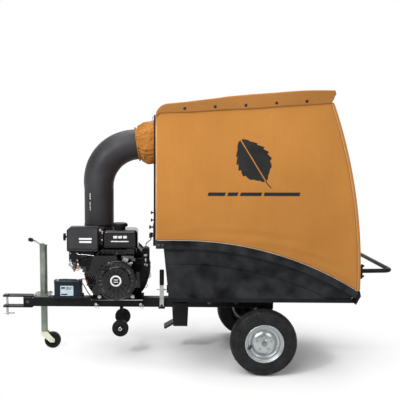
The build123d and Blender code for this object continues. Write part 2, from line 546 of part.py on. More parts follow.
# ---------------------------------------------------------------- latch, leg and pedal
def latch():
    bracket = box(-640, -596, -60, -33, 314, 352) - box(-641, -595, -57, -43, 319, 353)
    bracket -= rod_y(LATCH_X, LATCH_Z, 5.05, -70, -30)
    add("stand_leg", bracket)
    bar = rounded(box(LATCH_X - 7, LATCH_X + 7, -56, -44, 322, 474), Axis.Y, 5)
    bar -= rod_y(LATCH_X, LATCH_Z, 5.05, -60, -40)
    ears = box(LATCH_X - 14, LATCH_X + 14, -64, -61, 330, 474)
    ears += box(LATCH_X - 14, LATCH_X + 14, -64, -44, 466, 474)
    add("latch_lever", (bar + ears) - rod_y(LATCH_X, LATCH_Z, 5.05, -70, -40) - rod_x(-50, 442, 4.02,
            -660, -580))
    add("stand_leg", rod_y(LATCH_X, LATCH_Z, 5, -68, -34) + rod_y(LATCH_X, LATCH_Z, 8, -71, -68))
    add("latch_lever", rod_x(-50, 442, 4, -652, -586))
    add("latch_lever", fillet(rod_z(LATCH_X, -54, 15, 474, 577).edges(), 5))

    leg = slab(outline((-548, 352), (-441, 352), (-446, 197), (-541, 197)), -62, -58)
    far = slab(outline((-548, 352), (-441, 352), (-446, 197), (-541, 197)), 58, 62)
    web = slab(outline((-444.6, 316), (-441, 316), (-446, 197), (-450, 197)), -58, 58)
    top = box(-548, -441, -58, -33, 340, 346) + box(-548, -441, 33, 58, 340, 346)
    foot = box(-518, -447, -58, 58, 197, 203)
    leg = leg + far + web + top + foot
    leg -= rod_y(PEDAL_X, PEDAL_Z, 5.05, -70, 70)
    add("stand_leg", leg)
    plate = Pos(PEDAL_X, 0, PEDAL_Z) * Rot(0, -30, 0) * rounded(box(-84, -10, -50, 50, -5, 5), Axis.Z, 8)
    knuckle = rod_y(PEDAL_X, PEDAL_Z, 11, -54, 54) - rod_y(PEDAL_X, PEDAL_Z, 5.05, -60, 60)
    ribs = [Pos(PEDAL_X, 0, PEDAL_Z) * Rot(0, -30, 0) * box(-78 + i * 12, -74 + i * 12, -44, 44, 5,
                                                            8) for i in range(5)]
    pedal = plate + knuckle
    for rib in ribs:
        pedal += rib
    pedal -= rod_y(PEDAL_X, PEDAL_Z, 5.05, -60, 60)
    add("foot_pedal", pedal)
    add("stand_leg", rod_y(PEDAL_X, PEDAL_Z, 5, -66, 66))


# ---------------------------------------------------------------- tub
def rim_drop(x):
    """How far the rim has curved down at x."""
    dx = max(0.0, x - RIM_FLAT_X)
    return RIM_CURVE_R - math.sqrt(RIM_CURVE_R ** 2 - dx ** 2)


def rim_line(x0, x1, lower):
    """The rim's side line from x0 to x1, lowered by some depth: a flat stretch and an arc."""
    flat = Line((x0, RIM_TOP_Z - lower), (RIM_FLAT_X, RIM_TOP_Z - lower))
    middle = (RIM_FLAT_X + x1) / 2
    arc = ThreePointArc((RIM_FLAT_X, RIM_TOP_Z - lower), (middle, RIM_TOP_Z - lower - rim_drop(middle)),
                        (x1, RIM_TOP_Z - lower - rim_drop(x1)))
    return flat, arc


def under_rim(x0, x1, lower, bottom):
    """The closed side outline between the lowered rim line and points along the bottom."""
    flat, arc = rim_line(x0, x1, lower)
    floor = Polyline(arc @ 1, *bottom, flat @ 0)
    return Curve() + [flat, arc, floor]


def tapered(inset):
    """The tub's front view as a prism, narrower at the bottom."""
    low, high = 388 - inset, 416 - inset
    face = make_face(Plane.YZ * Polyline((-low, TUB_Z - 10), (low, TUB_Z - 10), (high, 860), (-high, 860),
                                         close=True))
    return Pos(-700, 0, 0) * extrude(face, 1400, dir=(1, 0, 0))


def tub():
    back = 548
    body = slab(under_rim(-614, back, 12, [(back, 500), (520, TUB_Z), (-578, TUB_Z)]), -430,
                430) & tapered(0)
    belly_top = 148
    belly = slab(under_rim(-597, 360, belly_top, [(360, TUB_Z), (-579, TUB_Z)]), -430, 430) & tapered(-7)
    body += belly
    band_low = RIM_DEPTH
    flat, arc = rim_line(RIM_FRONT, RIM_BACK, 0)
    low_flat, low_arc = rim_line(RIM_FRONT, RIM_BACK - 22, band_low)
    edge = Curve() + [flat, arc, Line(arc @ 1, low_arc @ 1), low_arc, low_flat,
                      Line(low_flat @ 0, flat @ 0)]
    rim = slab(edge, -RIM_HALF, RIM_HALF)
    body += rim
    w = TUB_WALL
    inside = slab(outline((-608, 1000), (-572, TUB_Z + w), (517, TUB_Z + w), (540, 506), (540, 1000)),
                  -430, 430) & tapered(w)
    add("tub", body - inside)

    y0, y1 = RAIL_Y, RAIL_Y + RAIL
    rails = None
    for side in (-1, 1):
        a, b = sorted((side * y0, side * y1))
        rail = box(-575, 536, a, b, RAIL_Z, TUB_Z)
        rails = rail if rails is None else rails + rail
    for x in (-570, PIVOT_X - 12.5, 500):
        rails += box(x, x + 25, -y0, y0, RAIL_Z, TUB_Z)
    add("tub_frame", rails)
    for side in (-1, 1):
        a, b = sorted((side * y0, side * 438))
        c, d = sorted((side * 395, side * 438))
        tab = slab(outline((536.2, RAIL_Z), (548, 470), (553, 483), (536.2, 483)), a, b)
        corner = slab(outline((536.2, 482), (553, 482), (564, 501), (558, 531), (557.4, 522.6)), c, d)
        add("tub_frame", tab + corner)
    lugs = []
    for side in (-1, 1):
        a, b = sorted((side * 301, side * 309))
        lug = slab(outline((22, RAIL_Z), (78, RAIL_Z), (66, 422), (34, 422)), a, b)
        lugs.append(rounded(lug, Axis.Y, 6) - rod_y(PIVOT_X, PIVOT_Z, 8.05, a - 1, b + 1))
    add("tub_frame", *lugs)
    pins = [rod_y(PIVOT_X, PIVOT_Z, 8, side * 290.3, side * 318) for side in (-1, 1)]
    add("tub_frame", *pins)
    add("tub_frame", box(-585, -575.4, -66, -34, 424, RAIL_Z + 22))


# ---------------------------------------------------------------- canvas top
def top_edge(grow):
    """Front corner and crown of the canvas as edges, grown outwards by some distance."""
    x = COVER_FRONT - grow
    r = CORNER_R + grow
    turn = math.sqrt(0.5)
    centre = (COVER_FRONT + CORNER_R, TOP_START[1] - CORNER_R)
    corner = ThreePointArc((x, centre[1]), (centre[0] - r * turn, centre[1] + r * turn),
                           (centre[0], centre[1] + r))
    crown = ThreePointArc((TOP_START[0], TOP_START[1] + grow), (TOP_MID[0], TOP_MID[1] + grow),
                          (TOP_END[0], TOP_END[1] + grow))
    return corner, crown


def back_x(z, inset=0.0):
    """The rear edge's x at a height."""
    dz = max(0.0, z - BACK_Z)
    return BACK_X - BACK_R + math.sqrt((BACK_R - inset) ** 2 - dz ** 2)


def side_outline(grow):
    corner, crown = top_edge(grow)
    flat, arc = rim_line(COVER_FRONT - grow, BACK_X, -1)
    mid_z = (BACK_Z + BACK_TOP_Z) / 2
    rear = ThreePointArc((BACK_X, BACK_Z), (back_x(mid_z), mid_z), (back_x(BACK_TOP_Z), BACK_TOP_Z))
    return Curve() + [flat, arc, Line(arc @ 1, (BACK_X, BACK_Z)), rear,
                      Line((back_x(BACK_TOP_Z), BACK_TOP_Z), (back_x(BACK_TOP_Z), TOP_END[1] + grow - 1)),
                      Line((back_x(BACK_TOP_Z), TOP_END[1] + grow - 1), crown @ 1), crown, corner,
                      Line(corner @ 0, flat @ 0)]


def canvas():
    for label, side in (("near", -1), ("far", 1)):
        a, b = sorted((side * (COVER_HALF - COVER_T), side * COVER_HALF))
        panel = slab(side_outline(0), a, b)
        panel -= box(back_x(BACK_TOP_Z), 500, a - 1, b + 1, BACK_TOP_Z, 1800)
        add(f"cover_side_{label}", panel)

    def cap(grow, end):
        corner, crown = top_edge(grow)
        low = Polyline(crown @ 1, (end, 1676), (end - 20, 1642), (-628, 1584), corner @ 0)
        return Curve() + [corner, crown, low]
    reach = COVER_HALF + 0.5
    sheet = slab(cap(COVER_T + 0.4, TOP_END[0]), -reach - COVER_T, reach + COVER_T)
    inner_corner, inner_crown = top_edge(0.4)
    inner = Curve() + [inner_corner, inner_crown, Polyline(inner_crown @ 1, (TOP_END[0], 1500),
                                                           (COVER_FRONT - 0.4, 1500), inner_corner @ 0)]
    sheet -= slab(inner, -reach, reach)
    add("cover_top", sheet)
    front = box(COVER_FRONT, COVER_FRONT + COVER_T, -COVER_HALF + COVER_T + 0.2,
                COVER_HALF - COVER_T - 0.2, RIM_TOP_Z + 1, 1558)
    front -= rod_x(INLET_Y, INLET_Z, 130, COVER_FRONT - 5, COVER_FRONT + 10)
    add("cover_front", front)

    centre, direction, radius = chute_section(BEND_DEG)
    small = Plane(origin=Vector(*centre) - Vector(*direction) * 4, x_dir=(0, 1, 0), z_dir=direction)
    large = Plane(origin=(COVER_FRONT - 0.2, INLET_Y, INLET_Z), x_dir=(0, 1, 0), z_dir=(1, 0, 0))
    collar = loft([small * Circle(radius + 5), large * Circle(138)])
    collar -= loft([small * Circle(radius + 1), large * Circle(134)])
    add("inlet_collar", collar)

    y = COVER_HALF - 16
    for side in (-1, 1):
        add("cover_frame", hoop(side * y, 11) - hoop(side * y, 9))
    for x, z in ((TOP_START[0], TOP_START[1] - 18), (TOP_MID[0], TOP_MID[1] - 18),
                 (TOP_END[0] - 40, TOP_END[1] - 19)):
        add("cover_frame", rod_y(x, z, 9, -y + 12.5, y - 12.5))

    posts = [rod_z(POST_X, side * POST_Y, 4, 800, 1575) for side in (-1, 1)]
    add("cover_frame", *posts)
    knobs, blocks = [], []
    for side in (-1, 1):
        y = side * POST_Y
        blocks.append(box(POST_X - 7, -657.4, y - 14, y + 14, 796, 930) - rod_z(POST_X, y, 4.02, 790, 940))
        for z in (853, 908):
            knobs.append(rod_x(y, z, 5, -688, POST_X - 7.2) + rod_x(y, z, 11, -697, -687))
    add("front_fittings", *knobs)
    add("front_fittings", *blocks)
    hook_x = POST_X - 12
    hook = bent([(POST_X - 4.2, -POST_Y, 1566), (hook_x, -POST_Y, 1566), (hook_x, -POST_Y, 1544),
                 (POST_X - 5, -POST_Y, 1544)], 2.5, 3.5)
    ring = Pos(hook_x + 4, -POST_Y, 1533.9) * Rot(0, 90, 0) * Torus(15, 2.2)
    add("front_fittings", hook, ring)


def hoop(y, r):
    """One side's bent bar of the canvas frame, at radius r: front upright, crown and rear upright."""
    corner, crown = top_edge(-16)
    start = (COVER_FRONT + 16, RIM_TOP_Z + 2)
    mid_z = (BACK_Z + BACK_TOP_Z) / 2
    rear_low, rear_top = (back_x(BACK_Z, 22), BACK_Z - 18), (back_x(BACK_TOP_Z - 6, 22), BACK_TOP_Z - 6)
    solid = None
    for edge in (Line(start, corner @ 0), corner, crown,
                 ThreePointArc(rear_low, (back_x(mid_z, 22), mid_z), rear_top)):
        path = Pos(0, y, 0) * (Plane.XZ * edge)
        bar = sweep(Plane(origin=path @ 0, z_dir=path % 0) * Circle(r), path=path)
        solid = bar if solid is None else solid + bar
    end = crown @ 1
    solid += rod((end.X, y, end.Y), (rear_top[0], y, rear_top[1]), r)
    return solid + Pos(rear_top[0], y, rear_top[1]) * Sphere(r) + Pos(end.X, y, end.Y) * Sphere(r)


# ---------------------------------------------------------------- rear door and dump handle
def door_shell(near, far, z0, z1, half):
    """A curved plate outside the rear edge, from near to far behind it and z0 to z1."""
    def line(inset):
        mid_z = (max(z0, BACK_Z) + z1) / 2
        return ThreePointArc((back_x(max(z0, BACK_Z), inset), max(z0, BACK_Z)),
                             (back_x(mid_z, inset), mid_z), (back_x(z1, inset), z1))
    a, b = line(-near), line(-far)
    edges = [a, Line(a @ 1, b @ 1), b]
    if z0 < BACK_Z:
        edges += [Polyline(b @ 0, (BACK_X + far, z0), (BACK_X + near, z0), a @ 0)]
    else:
        edges += [Line(b @ 0, a @ 0)]
    return slab(Curve() + edges, -half, half)


def rear_door():
    z_low, z_top = 534, 1640
    add("door_panel", door_shell(1.5, 4.5, 700, z_top - 12, 404))
    frame = door_shell(1.5, 17, z_low, z_top, 426) - door_shell(0, 20, 700, z_top - 40, 404)
    frame -= door_shell(0, 4.6, 700, z_top - 11, 404.2)
    frame -= door_shell(0, 14, z_low + 3, z_top - 3, 423) - door_shell(-1, 20, 697, z_top - 37, 407)
    add("door_frame", frame)
    add("door_frame", *[door_shell(4.8, 14, z - 9, z + 9, 403) for z in (1010, 1320)])
    barrel = rod_y(HINGE_X, HINGE_Z, 7, -380, 380)
    add("door_hinge", barrel)
    leaves = []
    for y in (-300, 0, 300):
        leaf = rod_y(HINGE_X, HINGE_Z, 11, y - 28, y + 28)
        leaf += box(HINGE_X - 2, HINGE_X + 4, y - 28, y + 28, z_top - 30, HINGE_Z)
        leaves.append(leaf - rod_y(HINGE_X, HINGE_Z, 7.05, y - 30, y + 30) - door_shell(-40, 17, 900,
                z_top + 0.2, 430))
    add("door_hinge", *leaves)
    brackets = []
    for y in (-340, 340):
        arm = box(TOP_END[0] - 30, HINGE_X, y - 6, y + 6, HINGE_Z - 9, HINGE_Z + 9)
        arm += rod_y(HINGE_X, HINGE_Z, 12, y - 6, y + 6)
        brackets.append(arm - rod_y(HINGE_X, HINGE_Z, 7.05, y - 30, y + 30))
    add("cover_frame", *brackets)

    x = BACK_X + 17
    x_bar = REAR_X - 13
    bar = bent([(x + 6, -HANDLE_Y, HANDLE_Z), (x_bar, -HANDLE_Y, HANDLE_Z + 4),
                (x_bar, HANDLE_Y, HANDLE_Z + 4),
                (x + 6, HANDLE_Y, HANDLE_Z)], 13, 45)
    add("dump_handle", bar)
    clamps, bolts = [], []
    for side in (-1, 1):
        y = side * HANDLE_Y
        block = rounded(box(x + 0.2, x + 38, y - 24, y + 24, HANDLE_Z - 44, HANDLE_Z + 44), Axis.Y, 10)
        clamps.append(block - bar)
        for dz in (-32, 32):
            bolts.append(rod_x(y, HANDLE_Z + dz, 6, x + 38, x + 54) + rod_x(y, HANDLE_Z + dz, 10, x + 38,
                    x + 46))
    add("dump_handle", *clamps)
    add("dump_handle", *bolts)


# ---------------------------------------------------------------- interlock cable
def interlock():
    add("interlock_cable", cord(CABLE_POINTS, 3))
    x, y, z = CABLE_POINTS[-1]
    add("interlock_plug", rod_z(x, y, 8, z, z + 15.8))
    socket = box(x - 14, RIM_FRONT - 0.2, y - 13, y + 13, z + 16, z + 19) + rod_z(x, y, 11, z + 18, z + 30)
    socket += box(RIM_FRONT - 3.2, RIM_FRONT - 0.2, y - 13, y + 13, z - 8, z + 17)
    add("front_fittings", socket)


for build in (drawbar, jack, caster, battery, base, engine, engine_top, blower, chute, chassis, wheels,
              latch,
              tub, canvas, rear_door, interlock):
    build()

os.makedirs("parts", exist_ok=True)
for name, solids in parts.items():
    moved = [Pos(AXLE_X, 0, 0) * solid for solid in solids]
    export_step(moved[0] if len(moved) == 1 else Compound(children=moved), f"parts/{name}.step")
print(len(parts), "parts")
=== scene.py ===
"""The look of a tow-behind leaf vacuum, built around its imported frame.

Places are given in millimetres in the machine's own layout: x from the road wheels' axle towards
the rear, y from the middle plane, z from the ground.  at() turns them into metres in the frame.
"""
import math

import bmesh
import bpy
from mathutils import Matrix, Vector, noise


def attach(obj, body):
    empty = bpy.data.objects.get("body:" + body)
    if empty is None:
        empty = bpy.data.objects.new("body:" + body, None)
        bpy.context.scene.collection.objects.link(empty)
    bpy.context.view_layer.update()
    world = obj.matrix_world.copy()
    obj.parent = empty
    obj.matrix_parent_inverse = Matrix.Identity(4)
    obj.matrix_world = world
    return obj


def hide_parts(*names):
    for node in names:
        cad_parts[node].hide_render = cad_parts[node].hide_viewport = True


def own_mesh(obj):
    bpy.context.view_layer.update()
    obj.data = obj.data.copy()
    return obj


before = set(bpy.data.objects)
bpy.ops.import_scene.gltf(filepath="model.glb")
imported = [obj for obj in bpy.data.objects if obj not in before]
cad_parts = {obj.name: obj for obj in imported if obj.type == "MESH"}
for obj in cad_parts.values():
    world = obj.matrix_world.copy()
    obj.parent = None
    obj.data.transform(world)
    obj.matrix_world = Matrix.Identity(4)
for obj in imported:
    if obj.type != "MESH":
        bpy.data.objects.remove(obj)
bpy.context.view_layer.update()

AXLE_X = 456.0


def at(x, y, z):
    return Vector(((x + AXLE_X) / 1000, y / 1000, z / 1000))


# ---------------------------------------------------------------- materials
def shader(name):
    mat = bpy.data.materials.new(name)
    mat.use_nodes = True
    return mat, mat.node_tree.nodes, mat.node_tree.links, mat.node_tree.nodes["Principled BSDF"]


def noise_node(nodes, links, scale, detail=4.0, stretch=(1, 1, 1)):
    """A noise texture in object space, where one unit is a metre."""
    place, mapping = nodes.new("ShaderNodeTexCoord"), nodes.new("ShaderNodeMapping")
    mapping.inputs["Scale"].default_value = stretch
    tex = nodes.new("ShaderNodeTexNoise")
    tex.inputs["Scale"].default_value = scale
    tex.inputs["Detail"].default_value = detail
    links.new(place.outputs["Object"], mapping.inputs["Vector"])
    links.new(mapping.outputs["Vector"], tex.inputs["Vector"])
    return tex


def ramp(nodes, links, source, low, high, start=0.3, end=0.7):
    """A colour ramp between two colours, driven by a texture's value."""
    node = nodes.new("ShaderNodeValToRGB")
    node.color_ramp.elements[0].position, node.color_ramp.elements[0].color = start, (*low, 1)
    node.color_ramp.elements[1].position, node.color_ramp.elements[1].color = end, (*high, 1)
    links.new(source, node.inputs["Fac"])
    return node


def spread(nodes, links, source, low, high):
    node = nodes.new("ShaderNodeMapRange")
    node.inputs["From Min"].default_value, node.inputs["From Max"].default_value = 0.3, 0.7
    node.inputs["To Min"].default_value, node.inputs["To Max"].default_value = low, high
    links.new(source, node.inputs["Value"])
    return node


def surface(name, dark, light, rough, metal=0.0, patch=9, grain=300, bump=0.15, depth=0.0006, coat=0.0,
            stretch=(1, 1, 1), shine=0.5):
    """A finish with patches of colour, uneven gloss and a fine grain."""
    mat, nodes, links, bsdf = shader(name)
    patches = noise_node(nodes, links, patch, 5, stretch)
    colour = ramp(nodes, links, patches.outputs["Fac"], dark, light)
    links.new(colour.outputs["Color"], bsdf.inputs["Base Color"])
    gloss = noise_node(nodes, links, patch * 3, 3, stretch)
    links.new(spread(nodes, links, gloss.outputs["Fac"], rough * 0.8, min(1, rough * 1.2)).outputs["Result"],
              bsdf.inputs["Roughness"])
    bsdf.inputs["Metallic"].default_value = metal
    bsdf.inputs["Coat Weight"].default_value = coat
    bsdf.inputs["Specular IOR Level"].default_value = shine
    fine = noise_node(nodes, links, grain, 3, stretch)
    relief = nodes.new("ShaderNodeBump")
    relief.inputs["Strength"].default_value = bump
    relief.inputs["Distance"].default_value = depth
    links.new(fine.outputs["Fac"], relief.inputs["Height"])
    links.new(relief.outputs["Normal"], bsdf.inputs["Normal"])
    return mat


def canvas_material(name, dark, light):
    """Coated woven canvas: two crossed sets of threads, broad fading and a soft sheen."""
    mat, nodes, links, bsdf = shader(name)
    fade = noise_node(nodes, links, 1.6, 4)
    links.new(ramp(nodes, links, fade.outputs["Fac"], dark, light, 0.25, 0.75).outputs["Color"],
              bsdf.inputs["Base Color"])
    bsdf.inputs["Roughness"].default_value = 0.82
    bsdf.inputs["Sheen Weight"].default_value = 0.04
    bsdf.inputs["Specular IOR Level"].default_value = 0.15
    place = nodes.new("ShaderNodeTexCoord")
    threads = []
    for direction in ("X", "Z"):
        wave = nodes.new("ShaderNodeTexWave")
        wave.bands_direction = direction
        wave.inputs["Scale"].default_value = 260
        wave.inputs["Distortion"].default_value = 0.6
        links.new(place.outputs["Object"], wave.inputs["Vector"])
        threads.append(wave)
    weave = nodes.new("ShaderNodeMath")
    weave.operation = "MAXIMUM"
    for index, wave in enumerate(threads):
        links.new(wave.outputs["Fac"], weave.inputs[index])
    creases = noise_node(nodes, links, 7, 3, (1.6, 1, 0.5))
    relief, folds = nodes.new("ShaderNodeBump"), nodes.new("ShaderNodeBump")
    relief.inputs["Strength"].default_value, relief.inputs["Distance"].default_value = 0.25, 0.0006
    folds.inputs["Strength"].default_value, folds.inputs["Distance"].default_value = 0.35, 0.012
    links.new(creases.outputs["Fac"], folds.inputs["Height"])
    links.new(weave.outputs[0], relief.inputs["Height"])
    links.new(folds.outputs["Normal"], relief.inputs["Normal"])
    links.new(relief.outputs["Normal"], bsdf.inputs["Normal"])
    return mat


CANVAS = canvas_material("canvas", (0.325, 0.134, 0.026), (0.425, 0.184, 0.040))
FLAP_CANVAS = canvas_material("canvas_flap", (0.225, 0.095, 0.021), (0.315, 0.134, 0.031))
COLLAR_CANVAS = canvas_material("canvas_collar", (0.19, 0.070, 0.012), (0.38, 0.160, 0.032))
PIPING = surface("piping", (0.50, 0.27, 0.10), (0.62, 0.36, 0.16), 0.7, grain=700)
BINDING = surface("binding", (0.40, 0.36, 0.32), (0.55, 0.50, 0.45), 0.6, grain=700)
THREAD = surface("thread", (0.24, 0.10, 0.024), (0.30, 0.13, 0.035), 0.8, grain=900)
MARK_BLACK = surface("mark_black", (0.008, 0.008, 0.009), (0.018, 0.017, 0.017), 0.7, grain=500, shine=0.2)
TUB = surface("tub_plastic", (0.001, 0.001, 0.0015), (0.026, 0.027, 0.029), 0.4, patch=9, grain=120, bump=0.6,
              depth=0.002, shine=0.12)
FRAME = surface("frame_black", (0.003, 0.003, 0.0035), (0.010, 0.010, 0.011), 0.38, coat=0.05, shine=0.12)
ENGINE = surface("engine_black", (0.0015, 0.0015, 0.002), (0.006, 0.006, 0.007), 0.2, coat=0.45, grain=90,
                 bump=0.05, shine=0.15)
PLASTIC = surface("black_plastic", (0.004, 0.004, 0.005), (0.011, 0.011, 0.012), 0.42, grain=500, bump=0.3,
                  shine=0.12)
CHUTE = surface("chute_plastic", (0.018, 0.018, 0.020), (0.036, 0.036, 0.040), 0.5, patch=6, grain=260,
                bump=0.35, shine=0.2)
ZINC = surface("zinc", (0.16, 0.18, 0.155), (0.30, 0.32, 0.28), 0.4, metal=0.7, patch=14)
PALE_ZINC = surface("pale_zinc", (0.62, 0.60, 0.48), (0.78, 0.76, 0.62), 0.4, metal=0.4)
STEEL = surface("steel", (0.36, 0.37, 0.38), (0.56, 0.57, 0.58), 0.3, metal=0.95, patch=30)
FILTER_GREY = surface("filter_grey", (0.018, 0.018, 0.021), (0.034, 0.034, 0.039), 0.4, grain=500, bump=0.3,
                      shine=0.3)
GALVANISED = surface("galvanised", (0.30, 0.31, 0.30), (0.50, 0.51, 0.49), 0.35, metal=0.6, patch=30)
DULL_STEEL = surface("dull_steel", (0.05, 0.05, 0.052), (0.13, 0.13, 0.135), 0.4, metal=0.8, patch=30)
CAST = surface("cast", (0.035, 0.035, 0.037), (0.10, 0.10, 0.105), 0.48, metal=0.6, patch=30, grain=350,
               bump=0.4)
BRASS = surface("brass", (0.30, 0.16, 0.06), (0.45, 0.27, 0.12), 0.4, metal=0.6, patch=40)
RIM = surface("rim_silver", (0.42, 0.45, 0.455), (0.50, 0.53, 0.535), 0.34, metal=0.85, patch=5, grain=60,
              bump=0.01)
TYRE = surface("tyre_rubber", (0.008, 0.008, 0.008), (0.020, 0.020, 0.021), 0.6, patch=20, grain=260,
               bump=0.3, shine=0.15)
RUBBER = surface("rubber", (0.006, 0.006, 0.006), (0.013, 0.013, 0.013), 0.6, shine=0.15)
RED_WIRE = surface("red_wire", (0.13, 0.012, 0.010), (0.22, 0.03, 0.022), 0.5)
WHITE = surface("white_print", (0.62, 0.62, 0.61), (0.76, 0.76, 0.75), 0.5)
LABEL = surface("label", (0.34, 0.42, 0.47), (0.50, 0.58, 0.62), 0.45, patch=60)
BATTERY = surface("battery_case", (0.005, 0.008, 0.013), (0.012, 0.018, 0.028), 0.4, shine=0.15)

CAD_FINISH = {
    "drawbar": FRAME, "hitch_plates": FRAME, "chassis_frame": FRAME, "axle_shaft": ZINC,
    "jack_outer_tube": ZINC, "battery": BATTERY, "engine_base": FRAME, "unit_axle": FRAME,
    "crankcase": ENGINE, "cylinder": DULL_STEEL,
    "fan_shroud": ENGINE, "recoil_cover": ENGINE, "fuel_tank": ENGINE, "air_cleaner_base": PLASTIC,
    "air_cleaner_cover": FILTER_GREY, "muffler": CAST, "carburetor": PLASTIC, "switch_box": PLASTIC,
    "starter_motor": ENGINE, "blower_housing": FRAME, "intake_spigot": FRAME, "chute_adapter": FRAME,
    "chute": CHUTE, "stand_leg": FRAME, "interlock_plug": PLASTIC, "hitch_pin": STEEL, "jack_crank": ZINC,
    "jack_inner_tube": ZINC, "caster_fork": PALE_ZINC, "caster_wheel": PLASTIC, "crankshaft": STEEL,
    "impeller": STEEL, "recoil_grip": PLASTIC, "fuel_cap": PLASTIC, "air_cleaner_knob": PLASTIC,
    "throttle_lever": FRAME, "choke_lever": FRAME, "ignition_key": STEEL, "unit_wheel_near": PLASTIC,
    "unit_wheel_far": PLASTIC, "latch_lever": GALVANISED, "foot_pedal": FRAME, "tub": TUB, "tub_frame": FRAME,
    "cover_frame": FRAME, "front_fittings": PLASTIC, "door_frame": FRAME, "door_hinge": DULL_STEEL,
    "dump_handle": FRAME,
}


def finish_cad():
    for node, finish in CAD_FINISH.items():
        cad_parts[node].data.materials.clear()
        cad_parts[node].data.materials.append(finish)
    # Some nodes are groups whose pieces differ in finish.
    repaint("jack_crank", RUBBER, lambda p: p.x < -1484 and p.y < 26)
    repaint("latch_lever", RUBBER, lambda p: p.z > 474)
    repaint("front_fittings", STEEL, lambda p: p.z > 1500)
    repaint("engine_base", STEEL, lambda p: p.y < -44 and p.z < 384)
    repaint("battery", STEEL, lambda p: p.z > 496 and -49 < p.y < -35)
    repaint("battery", FRAME, lambda p: p.z < 384.1)


def soften_edges(nodes, mm):
    """Rounds the sharp edges of CAD nodes a little, so that they catch the light."""
    for node in nodes:
        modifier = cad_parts[node].modifiers.new("edges", "BEVEL")
        modifier.width, modifier.segments = mm / 1000, 2
        modifier.limit_method, modifier.angle_limit = "ANGLE", math.radians(40)


def repaint(node, finish, where):
    """Gives the faces of a CAD node whose middle is in some place, in mm, another finish."""
    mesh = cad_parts[node].data
    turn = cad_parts[node].matrix_world
    mesh.materials.append(finish)
    index = len(mesh.materials) - 1
    for face in mesh.polygons:
        middle = turn @ face.center * 1000
        middle.x -= AXLE_X
        if where(middle):
            face.material_index = index


# ---------------------------------------------------------------- mesh helpers
def piece(name, points, faces, finish, body, smooth=True):
    """A mesh from points in mm, which moves with a body."""
    mesh = bpy.data.meshes.new(name)
    mesh.from_pydata([at(*p) for p in points], [], faces)
    mesh.materials.append(finish)
    mesh.polygons.foreach_set("use_smooth", [smooth] * len(mesh.polygons))
    obj = bpy.data.objects.new(name, mesh)
    bpy.context.scene.collection.objects.link(obj)
    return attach(obj, body)


def grid(name, rows, finish, body, closed=False, hole=None):
    """A surface through rows of points.  closed joins each row's end to its start."""
    across = len(rows[0])
    points = [p for row in rows for p in row]
    faces = []
    for i in range(len(rows) - 1):
        for j in range(across if closed else across - 1):
            k = (j + 1) % across
            face = (i * across + j, i * across + k, (i + 1) * across + k, (i + 1) * across + j)
            if hole is None or not hole([sum(points[c][a] for c in face) / 4 for a in range(3)]):
                faces.append(face)
    return piece(name, points, faces, finish, body)


def thicken(obj, mm):
    """Gives a sheet its thickness, half on each side."""
    modifier = obj.modifiers.new("thickness", "SOLIDIFY")
    modifier.thickness, modifier.offset = mm / 1000, 0


def turned(name, profile, centre, finish, body, axis="Y", steps=72):
    """A lathe shape from (radius, along) points, turned about an axis line through centre."""
    rows = []
    for radius, along in profile:
        row = []
        for i in range(steps):
            angle = 2 * math.pi * i / steps
            a, b = radius * math.cos(angle), radius * math.sin(angle)
            offset = {"X": (along, a, b), "Y": (a, along, b), "Z": (a, b, along)}[axis]
            row.append(tuple(c + o for c, o in zip(centre, offset)))
        rows.append(row)
    return grid(name, rows, finish, body, closed=True)


def tube(name, points, radius, finish, body, sides=10, loop=False):
    """A round wire along points, closed into a ring where loop is set."""
    line = [Vector(p) for p in points]
    count = len(line)
    rows, side = [], None
    for i, here in enumerate(line):
        before = line[i - 1 if loop or i else 0]
        after = line[(i + 1) % count if loop else min(i + 1, count - 1)]
        ahead = (after - before).normalized()
        if side is None:
            side = ahead.orthogonal().normalized()
        side = (side - ahead * side.dot(ahead)).normalized()
        other = ahead.cross(side)
        rows.append([tuple(here + (side * math.cos(t) + other * math.sin(t)) * radius)
                     for t in (2 * math.pi * k / sides for k in range(sides))])
    if loop:
        rows.append(rows[0])
    return grid(name, rows, finish, body, closed=True)


def boxes(name, items, finish, body, bevel=0.8):
    """Bevelled blocks in one mesh: (x0, x1, y0, y1, z0, z1) each, or that with a turn to apply after."""
    mesh = bmesh.new()
    for item in items:
        x0, x1, y0, y1, z0, z1 = item[:6]
        turn = item[6] if len(item) > 6 else Matrix.Identity(4)
        size = Matrix.Diagonal((x1 - x0, y1 - y0, z1 - z0, 1))
        place = Matrix.Translation(((x0 + x1) / 2, (y0 + y1) / 2, (z0 + z1) / 2))
        bmesh.ops.create_cube(mesh, size=1, matrix=turn @ place @ size)
    if bevel:
        bmesh.ops.bevel(mesh, geom=mesh.edges[:], offset=bevel, segments=2, affect="EDGES", profile=0.5)
    mesh.verts.index_update()
    points = [tuple(v.co) for v in mesh.verts]
    faces = [[v.index for v in face.verts] for face in mesh.faces]
    mesh.free()
    return piece(name, points, faces, finish, body, smooth=False)


def around(x, z, degrees):
    """A turn about the Y line through (x, z)."""
    there = Matrix.Translation((x, 0, z))
    return there @ Matrix.Rotation(math.radians(degrees), 4, "Y") @ there.inverted()


def bolts(name, places, radius, depth, finish, body):
    """Hexagonal heads facing -Y, each with a washer."""
    points, faces = [], []
    for x, y, z in places:
        washer, head = (radius * 1.45, y, y - depth * 0.25, 20), (radius, y - depth * 0.25, y - depth, 6)
        for r, y0, y1, sides in (washer, head):
            base = len(points)
            for across in (y0, y1):
                points += [(x + r * math.cos(t), across, z + r * math.sin(t))
                           for t in (2 * math.pi * k / sides for k in range(sides))]
            faces += [(base + k, base + (k + 1) % sides, base + sides + (k + 1) % sides, base + sides + k)
                      for k in range(sides)]
            faces.append(tuple(range(base + sides, base + 2 * sides)))
    return piece(name, points, faces, finish, body, smooth=False)


